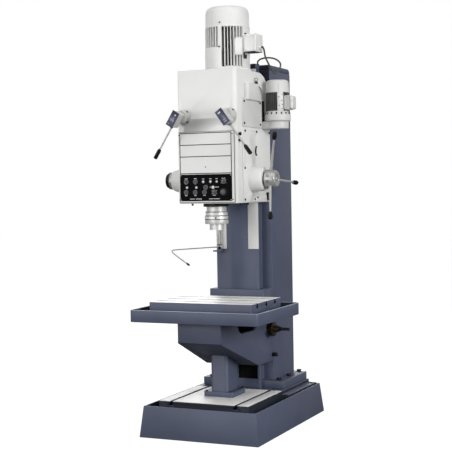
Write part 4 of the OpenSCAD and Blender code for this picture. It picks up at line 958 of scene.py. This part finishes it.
# Keys, stop, selectors and lenses; a key's stem goes on into the plate as its cap is pushed
def makeKeys(look):
    front, travel, stem = look["front"], look["travel"], look["stem"]
    seat = travel + 0.0006
    for i, (x, z) in enumerate(look["keys"], 1):
        cap = turnShape("keyCap_" + str(i), keyPlastic, [
            (-0.004, stem), (seat, stem), (seat, 0.0128), (0.0045 + travel, 0.0130), (0.006 + travel, 0.0120),
            (0.0064 + travel, 0.0100), (0.0054 + travel, 0.0085), (0.0052 + travel, 0.002)],
            (x, front, z), toFront, steps=32)
        settle(cap, "button_" + str(i), ["button_" + str(i)])
    for i, (x, z) in enumerate(look["selectors"], 1):
        knob = joinShapes("selectorKnob_" + str(i), [
            turnShape("selectorBase", keyPlastic, [(0.0005, 0.0140), (0.007, 0.0138), (0.010, 0.0115)],
                      facing=toFront, steps=32, bevel=0.0006),
            blockShape("selectorWing", keyPlastic, (-0.0042, -0.020, -0.013), (0.0042, -0.009, 0.013),
                       0.0018, 3),
            blockShape("selectorLine", labelStrip, (-0.0008, -0.0206, 0.002), (0.0008, -0.0195, 0.012),
                       0.0002, 1)])
        knob.data.transform(Matrix.Translation((x, front, z)))
        settle(knob, "selector_" + str(i), ["selector_" + str(i)])
    stop = turnShape("stopHead", keyPlastic, [
        (-0.004, stem), (seat, stem), (seat, 0.0130), (0.0118, 0.0130), (0.0125, 0.0205), (0.0145, 0.0220),
        (0.0185, 0.0212), (0.0210, 0.0165), (0.0219, 0.0085), (0.0220, 0.001)],
        (look["stop"][0], front, look["stop"][1]), toFront, steps=36)
    settle(stop, "stop_button", ["stop_button"])
    lenses = [turnShape("lampLens", lensPlastic, [
        (0, r - 0.0003), (0.0030, r - 0.0003), (0.0046, r * 0.8), (0.0052, r * 0.4), (0.0053, r * 0.05)],
        (x, front + 0.0006, z), toFront, steps=24) for x, z, r in look["lamps"]]
    settle(joinShapes("panelLampLenses", lenses), "panel_lamps", ["panel_lamps"])


makeSwitchPanel(switchPanel)
makeKeys(switchPanel)
print("panels made")

# Feed hub with turned steps, its tapered handles and the depth dial on the left
feedDrive = {"y": -0.170, "z": 1.902, "boss": 0.347, "end": 0.445, "hub": 0.070, "spokeX": 0.385,
             "angles": (-5, 105, 235), "lean": 13, "reach": 0.370, "dialEnd": -0.475, "dome": -0.412,
             "dial": 0.067, "ticks": ((12, 0.010), (60, 0.006)),
             # holes in the hub's rim, drawn as black discs of painted shade: distance from the boss, angle,
             # radius
             "holes": ((0.045, 71, 0.009), (0.045, 105, 0.009), (0.020, 88, 0.005)),
             "endHole": (-0.041, 0.006)}


def makeFeedHub(look):
    y, z, r, boss, end = look["y"], look["z"], look["hub"], look["boss"], look["end"]
    hub = turnShape("feedHubTurned", hubSteel, [
        (boss + 0.004, r - 0.012), (boss + 0.014, r - 0.012), (boss + 0.014, r), (boss + 0.026, r),
        (boss + 0.027, r - 0.002), (boss + 0.030, r - 0.002), (boss + 0.031, r), (boss + 0.058, r - 0.001),
        (boss + 0.059, r - 0.0035), (boss + 0.062, r - 0.0035), (boss + 0.063, r - 0.002),
        (end - 0.014, r - 0.005), (end - 0.004, r - 0.012), (end - 0.002, r - 0.014), (end - 0.002, 0.030),
        (end - 0.006, 0.028), (end - 0.006, 0.014), (end - 0.001, 0.012), (end, 0.004)],
        (0, y, z), toRight, steps=64, bevel=0.0008)
    # painted shade: the narrow neck next to the boss drawn dark
    dressFaces(hub, seamFillerAndShade, lambda c, n: c.x < boss + 0.0138)
    shapes = [hub]
    for out, angle, size in look["holes"]:
        a = math.radians(angle)
        shapes.append(turnShape("hubHole", jointBlack, [(r - 0.012, size), (r + 0.0010, size),
                                                        (r + 0.0010, size * 0.7), (r - 0.004, size * 0.65)],
                                (boss + out, y, z), (0, -math.sin(a), math.cos(a)), steps=20))
    holeY, holeZ = look["endHole"]
    shapes.append(turnShape("hubEndHole", blackOxide, [(-0.012, 0.007), (0.0006, 0.007), (0.0006, 0.005),
                                                       (-0.004, 0.0045)],
                            (end - 0.003, y + holeY, z + holeZ), toRight, steps=20))
    settle(joinShapes("feedHubDressed", shapes), "feed_hub", ["feed_hub"])


def makeFeedRods(look):
    r, reach = look["hub"], look["reach"]
    rod = turnShape("feedRod", polishedSteel, [
        (r - 0.024, 0.0085), (r - 0.004, 0.0085), (r - 0.002, 0.0125), (r + 0.010, 0.0125),
        (r + 0.014, 0.0118), (reach - 0.150, 0.0090), (reach - 0.062, 0.0072), (reach - 0.040, 0.0072)],
        facing=(0, 1, 0), steps=24, bevel=0.0005)
    hubMiddle = Matrix.Translation((look["spokeX"], look["y"], look["z"]))
    moves = [hubMiddle @ turnBy(a, "X") @ turnBy(-look["lean"], "Z") for a in look["angles"]]
    settle(joinShapes("feedRods", repeatShape(rod, moves)), "feed_spokes", ["feed_spokes"])


def makeDepthDial(look):
    y, z, end, dome, r = look["y"], look["z"], look["dialEnd"], look["dome"], look["dial"]
    dial = turnShape("depthDialTurned", hubSteel, [
        (-dome + 0.003, r), (-dome + 0.018, r), (-dome + 0.019, 0.0635), (-dome + 0.022, 0.0635),
        (-dome + 0.023, r), (-dome + 0.036, 0.066), (-dome + 0.038, 0.060), (-end - 0.018, 0.059),
        (-end - 0.008, 0.055), (-end - 0.006, 0.040), (-end - 0.002, 0.036), (-end, 0.012)],
        (0, y, z), toLeft, steps=64, bevel=0.0008)
    dressFaces(dial, blackPlastic, lambda c, n: c.x < dome - 0.024)
    # painted shade: the groove between the dial's rings drawn dark
    dressFaces(dial, seamFillerAndShade, lambda c, n: dome - 0.0225 < c.x < dome - 0.0185
               and math.hypot(c.y - y, c.z - z) < 0.0645)
    shapes = [dial]
    for count, deep in look["ticks"]:
        tick = blockShape("dialTick", blackOxide, (dome - 0.004 - deep, -0.0004, 0.0664),
                          (dome - 0.004, 0.0004, 0.0674), 0.0001, 1)
        shapes += repeatShape(tick, [Matrix.Translation((0, y, z)) @ turnBy(360 * i / count, "X")
                                     for i in range(count)])
    settle(joinShapes("depthDialDressed", shapes), "feed_dial", ["feed_dial"])


makeFeedHub(feedDrive)
makeFeedRods(feedDrive)
makeDepthDial(feedDrive)
print("feed drive made")

# Turned grooves on the spindle nose ring, drawn as thin black bands of painted shade, and screws
noseRing = {"screws": (20, 110, 200, 290), "screwUp": 0.045}


def makeNoseDetails(look):
    low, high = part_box("nose_ring")
    r, y = (high[0] - low[0]) / 2, (low[1] + high[1]) / 2
    shapes = []
    for z, skin in ((low[2] + 0.030, r + 0.0003), (high[2] - 0.036, r + 0.0003), (high[2] - 0.007, r - 0.0047)):
        shapes.append(turnShape("noseGroove", jointBlack, [
            (0, skin - 0.002), (0.0003, skin + 0.0005), (0.0052, skin + 0.0005), (0.0055, skin - 0.002)],
            (0, y, z), steps=56))
    for angle in look["screws"]:
        a = math.radians(angle)
        place = ((r - 0.002) * math.cos(a), y + (r - 0.002) * math.sin(a), low[2] + look["screwUp"])
        shapes.append(turnShape("noseScrew", blackOxide, [(0, 0.006), (0.0035, 0.006), (0.004, 0.0035),
                                                          (0.002, 0.003)],
                                place, (math.cos(a), math.sin(a), 0), steps=18))
    settle(joinShapes("noseDetails", shapes), "nose_ring")


makeNoseDetails(noseRing)

# Coolant nozzle: bent tube from a swivel collar to a small tip
nozzle = {"axis": (-0.137, 0.040, 1.375), "tube": 0.0048, "knobFacing": (0.4, -0.9, 0), "route": [
    (-0.019, -0.004, 0.002), (-0.035, -0.020, 0.002), (-0.097, -0.118, 0.001), (-0.174, -0.257, -0.001),
    (-0.224, -0.346, -0.003), (-0.232, -0.360, -0.008), (-0.226, -0.366, -0.022), (-0.180, -0.366, -0.056),
    (-0.085, -0.365, -0.118)]}


def makeNozzle(look):
    axis = Vector(look["axis"])
    path = smoothPath([tuple(axis + Vector(p)) for p in look["route"]], 5)
    run = (path[-1] - path[-3]).normalized()
    shapes = [
        tubeAlong("nozzleTube", darkTubeSteel, path, look["tube"], 3),
        turnShape("nozzleTip", blackOxide, [(-0.028, 0.0062), (-0.020, 0.0080), (-0.006, 0.0078),
                                            (0.0, 0.0050), (0.0, 0.0030), (-0.004, 0.0028)],
                  path[-1], run, steps=20),
        turnShape("nozzleCollar", polishedSteel, [(-0.010, 0.0205), (-0.008, 0.022), (0.012, 0.022),
                                                  (0.014, 0.0205)], axis, steps=36),
        turnShape("nozzleKnob", blackPlastic, [(0.018, 0.006), (0.030, 0.006), (0.032, 0.011), (0.042, 0.012),
                                               (0.045, 0.009)], axis, look["knobFacing"], steps=20,
                  bevel=0.0006)]
    settle(joinShapes("coolantNozzleDressed", shapes), "coolant_nozzle", ["coolant_nozzle"], 50)


makeNozzle(nozzle)
print("spindle and nozzle made")


# The middle and height of each upright screw in a node
def screwTops(node, spread=0.035):
    found = []
    for face in frame["nodes"][node].data.polygons:
        if face.normal.z < 0.9:
            continue
        for spot in found:
            if (spot["at"] - face.center).to_2d().length < spread:
                break
        else:
            spot = {"at": face.center.copy(), "faces": []}
            found.append(spot)
        spot["faces"].append((face.center.copy(), face.area))
    tops = []
    for spot in found:
        top = max(c.z for c, area in spot["faces"])
        flat = [(c, area) for c, area in spot["faces"] if c.z > top - 0.0005]
        whole = sum(area for c, area in flat)
        tops.append(sum((c * area for c, area in flat), Vector()) / whole)
    return tops


# Foot bolts with rounded heads and hexagon sockets drawn as flat dark discs of painted shade
def makeFootBolts():
    bolts = wholeMesh("foot_bolts")
    bevelEdges(bolts, 0.0015)
    tops = [Matrix.Translation(top) for top in screwTops("foot_bolts")]
    socket = turnShape("boltSocket", seamFillerAndShade, [(-0.0002, 0.0085), (0.0005, 0.0085), (0.0005, 0.007)],
                       steps=6)
    settle(joinShapes("footBoltsDressed", [bolts] + repeatShape(socket, tops)), "foot_bolts", ["foot_bolts"])


makeFootBolts()

# Eye bolt on the raised panel's top: bright ring on a dark collar
eyeBolt = {"collarTop": 0.0445, "smooth": 40}


def makeEyeBolt(look):
    low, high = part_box("eye_bolt")
    bolt = dress(wholeMesh("eye_bolt"), platedPipe)
    dressFaces(bolt, blackOxide, lambda c, n: c.z < low[2] + look["collarTop"])
    settle(bolt, "eye_bolt", ["eye_bolt"], look["smooth"])


makeEyeBolt(eyeBolt)

# Small fittings on the head's right side: two knobs, a pull, an oil pipe, low screws and a black block of
# painted shade by the pump
sideFittings = {"face": 0.239, "cover": 0.247, "knobY": -0.405, "knobHeights": (2.236, 2.192),
                "pull": (-0.098, 2.117), "pullSize": (0.024, 0.034), "pullTube": 0.005, "pipeTube": 0.005,
                "oilPipe": [(0.270, -0.092, 2.603), (0.280, -0.088, 2.600), (0.284, -0.078, 2.588),
                            (0.284, -0.062, 2.566), (0.282, -0.046, 2.536), (0.276, -0.040, 2.515),
                            (0.262, -0.040, 2.505), (0.236, -0.040, 2.503)],
                "pipeFoot": (-0.040, 2.504), "lowScrews": ((-0.140, 1.752), (-0.085, 1.764)),
                "gapShadeLow": (0.029, 2.348), "gapShadeHigh": (0.070, 2.502)}


def makeSideFittings(look):
    face, cover = look["face"], look["cover"]
    knob = turnShape("sideKnob", blackPlastic, [
        (-0.002, 0.008), (0.006, 0.008), (0.008, 0.0125), (0.016, 0.013), (0.019, 0.010)],
        (face, look["knobY"], 0), toRight, steps=24)
    shapes = repeatShape(knob, frontSpots((0, z) for z in look["knobHeights"]))
    # the pull is a bent rod whose ends go into the cover
    (pullY, pullZ), (deep, tall) = look["pull"], look["pullSize"]
    bends = [math.radians(t) for t in range(-75, 76, 15)]
    arc = [Vector((cover + 0.006, pullY - deep * math.cos(t), pullZ + tall * math.sin(t))) for t in bends]
    inward = Vector((-0.009, 0.004, 0))
    shapes.append(tubeAlong("coverPull", blackPlastic, [arc[0] + inward] + arc + [arc[-1] + inward],
                            look["pullTube"], 3))
    # pale oil pipe down from the raised panel to a dark fitting
    shapes.append(tubeAlong("oilPipe", platedPipe, smoothPath(look["oilPipe"], 4), look["pipeTube"], 3))
    shapes.append(turnShape("oilFitting", blackOxide, [(-0.004, 0.012), (0.018, 0.012), (0.020, 0.009),
                                                       (0.028, 0.009)],
                            (face, *look["pipeFoot"]), toRight, steps=6, bevel=0.0006))
    for y, z in look["lowScrews"]:
        shapes.append(turnShape("lowScrew", blackOxide, [(0, 0.0075), (0.005, 0.0075), (0.006, 0.005)],
                                (cover, y, z), toRight, steps=18))
    # black block between the head and the pump motor: painted shade in the gap
    shapes.append(blockShape("pumpGapShade", blackPlastic, (face - 0.001, *look["gapShadeLow"]),
                             (face + 0.012, *look["gapShadeHigh"]), 0.003, 2))
    settle(joinShapes("sideFittings", shapes), "quill_collar")


makeSideFittings(sideFittings)

# Drain plugs and grease points under the head, each with its radius
underFittings = {"z": 1.727, "spots": [(0.150, -0.405, 0.007), (0.205, -0.300, 0.006), (0.205, -0.180, 0.009),
                                       (0.160, -0.220, 0.006), (-0.150, -0.400, 0.007)]}


def makeUnderFittings(look):
    shapes = [turnShape("drainPlug", blackOxide, [
        (-0.002, r + 0.003), (0.004, r + 0.003), (0.004, r), (0.014, r), (0.016, r * 0.6)],
        (x, y, look["z"]), downward, steps=6) for x, y, r in look["spots"]]
    settle(joinShapes("underFittings", shapes), "quill_collar")


makeUnderFittings(underFittings)
print("fittings made")

# Studio: a floor and backdrop that the camera sees white, and five soft lamps round the machine
studio = {"floorSize": 60.0, "floorGrey": "#7a7a7a", "ambient": 0.30, "floorGlow": 0.89,
          # bright work mirrors pale walls with one dark gap and a dimmer right side: bearing and grey
          "walls": [(0.0, 0.95), (0.235, 0.9), (0.25, 0.12), (0.28, 0.12), (0.30, 0.7), (0.45, 0.6),
                    (0.60, 0.4), (0.69, 0.45), (0.76, 0.95)],
          # name, place, aim, width and height, power in watts
          "lamps": [("keyLamp", (6.6, -2.6, 3.0), (0.0, 0.0, 1.6), (2.4, 3.0), 330.0),
                    ("frontLamp", (-4.6, -8.4, 3.2), (0.0, 0.0, 1.7), (2.0, 2.0), 180.0),
                    ("lowLamp", (-1.0, -8.0, 1.4), (0.0, -0.4, 0.7), (2.0, 1.6), 90.0),
                    ("backLamp", (-3.2, 6.4, 3.6), (0.0, 0.0, 1.6), (3.0, 3.0), 150.0),
                    ("topLamp", (0.3, -3.0, 6.0), (0.0, -0.4, 1.0), (4.0, 3.0), 75.0)]}
plainWhite = (1, 1, 1, 1)


# The floor takes shadows as grey card does and glows for the camera only, so that it meets the backdrop
def makeFloor(settings):
    deselect()
    bpy.ops.mesh.primitive_plane_add(size=settings["floorSize"], location=(0, 0, 0))
    floor = bpy.context.active_object
    floor.name = "studioFloor"
    material = bpy.data.materials.new("whiteStudioFloor")
    material.use_nodes = True
    tree = material.node_tree
    shader = tree.nodes["Principled BSDF"]
    shader.inputs["Base Color"].default_value = colour(settings["floorGrey"])
    shader.inputs["Roughness"].default_value = 0.9
    rays = addNode(tree, "LightPath")
    strength = addNode(tree, "Math", {0: rays.outputs["Is Camera Ray"], 1: settings["floorGlow"]},
                       {"operation": "MULTIPLY"})
    glow = addNode(tree, "Emission", {"Color": plainWhite, "Strength": strength.outputs[0]})
    both = addNode(tree, "AddShader", {0: shader.outputs[0], 1: glow.outputs[0]})
    tree.links.new(both.outputs[0], tree.nodes["Material Output"].inputs["Surface"])
    floor.data.materials.append(material)


# White to the camera, the walls to what mirrors, and a dim even light to the rest
def makeBackdrop(settings):
    world = bpy.data.worlds.new("studioWorld")
    bpy.context.scene.world = world
    world.use_nodes = True
    sky = world.node_tree
    ambient = sky.nodes["Background"]
    ambient.inputs["Color"].default_value = plainWhite
    ambient.inputs["Strength"].default_value = settings["ambient"]
    seen = addNode(sky, "Background", {"Color": plainWhite, "Strength": 1.0})
    rays = addNode(sky, "LightPath")
    way = addNode(sky, "SeparateXYZ", {0: addNode(sky, "TexCoord").outputs["Generated"]})
    bearing = addNode(sky, "Math", {0: way.outputs["Y"], 1: way.outputs["X"]}, {"operation": "ARCTAN2"})
    share = addNode(sky, "MapRange", {"Value": bearing.outputs[0], "From Min": -math.pi, "From Max": math.pi})
    walls = addNode(sky, "ValToRGB", {"Fac": share.outputs["Result"]})
    marks = walls.color_ramp.elements
    for i, (spot, grey) in enumerate(settings["walls"]):
        mark = marks[i] if i < 2 else marks.new(spot)  # a ramp starts with two marks
        mark.position = spot
        mark.color = (grey, grey, grey, 1)
    mirrored = addNode(sky, "Background", {"Color": walls.outputs["Color"], "Strength": 1.0})
    first = addNode(sky, "MixShader", {0: rays.outputs["Is Glossy Ray"], 1: ambient.outputs[0],
                                       2: mirrored.outputs[0]})
    mixed = addNode(sky, "MixShader", {0: rays.outputs["Is Camera Ray"], 1: first.outputs[0],
                                       2: seen.outputs[0]})
    sky.links.new(mixed.outputs[0], sky.nodes["World Output"].inputs["Surface"])


def areaLamp(name, place, aim, size, power):
    data = bpy.data.lights.new(name, "AREA")
    data.shape = "RECTANGLE"
    data.size, data.size_y = size
    data.energy = power
    lamp = bpy.data.objects.new(name, data)
    bpy.context.scene.collection.objects.link(lamp)
    lamp.location = place
    lamp.rotation_euler = (Vector(aim) - Vector(place)).to_track_quat("-Z", "Y").to_euler()


makeFloor(studio)
makeBackdrop(studio)
for lamp in studio["lamps"]:
    areaLamp(*lamp)
bpy.context.scene.view_settings.view_transform = "Standard"
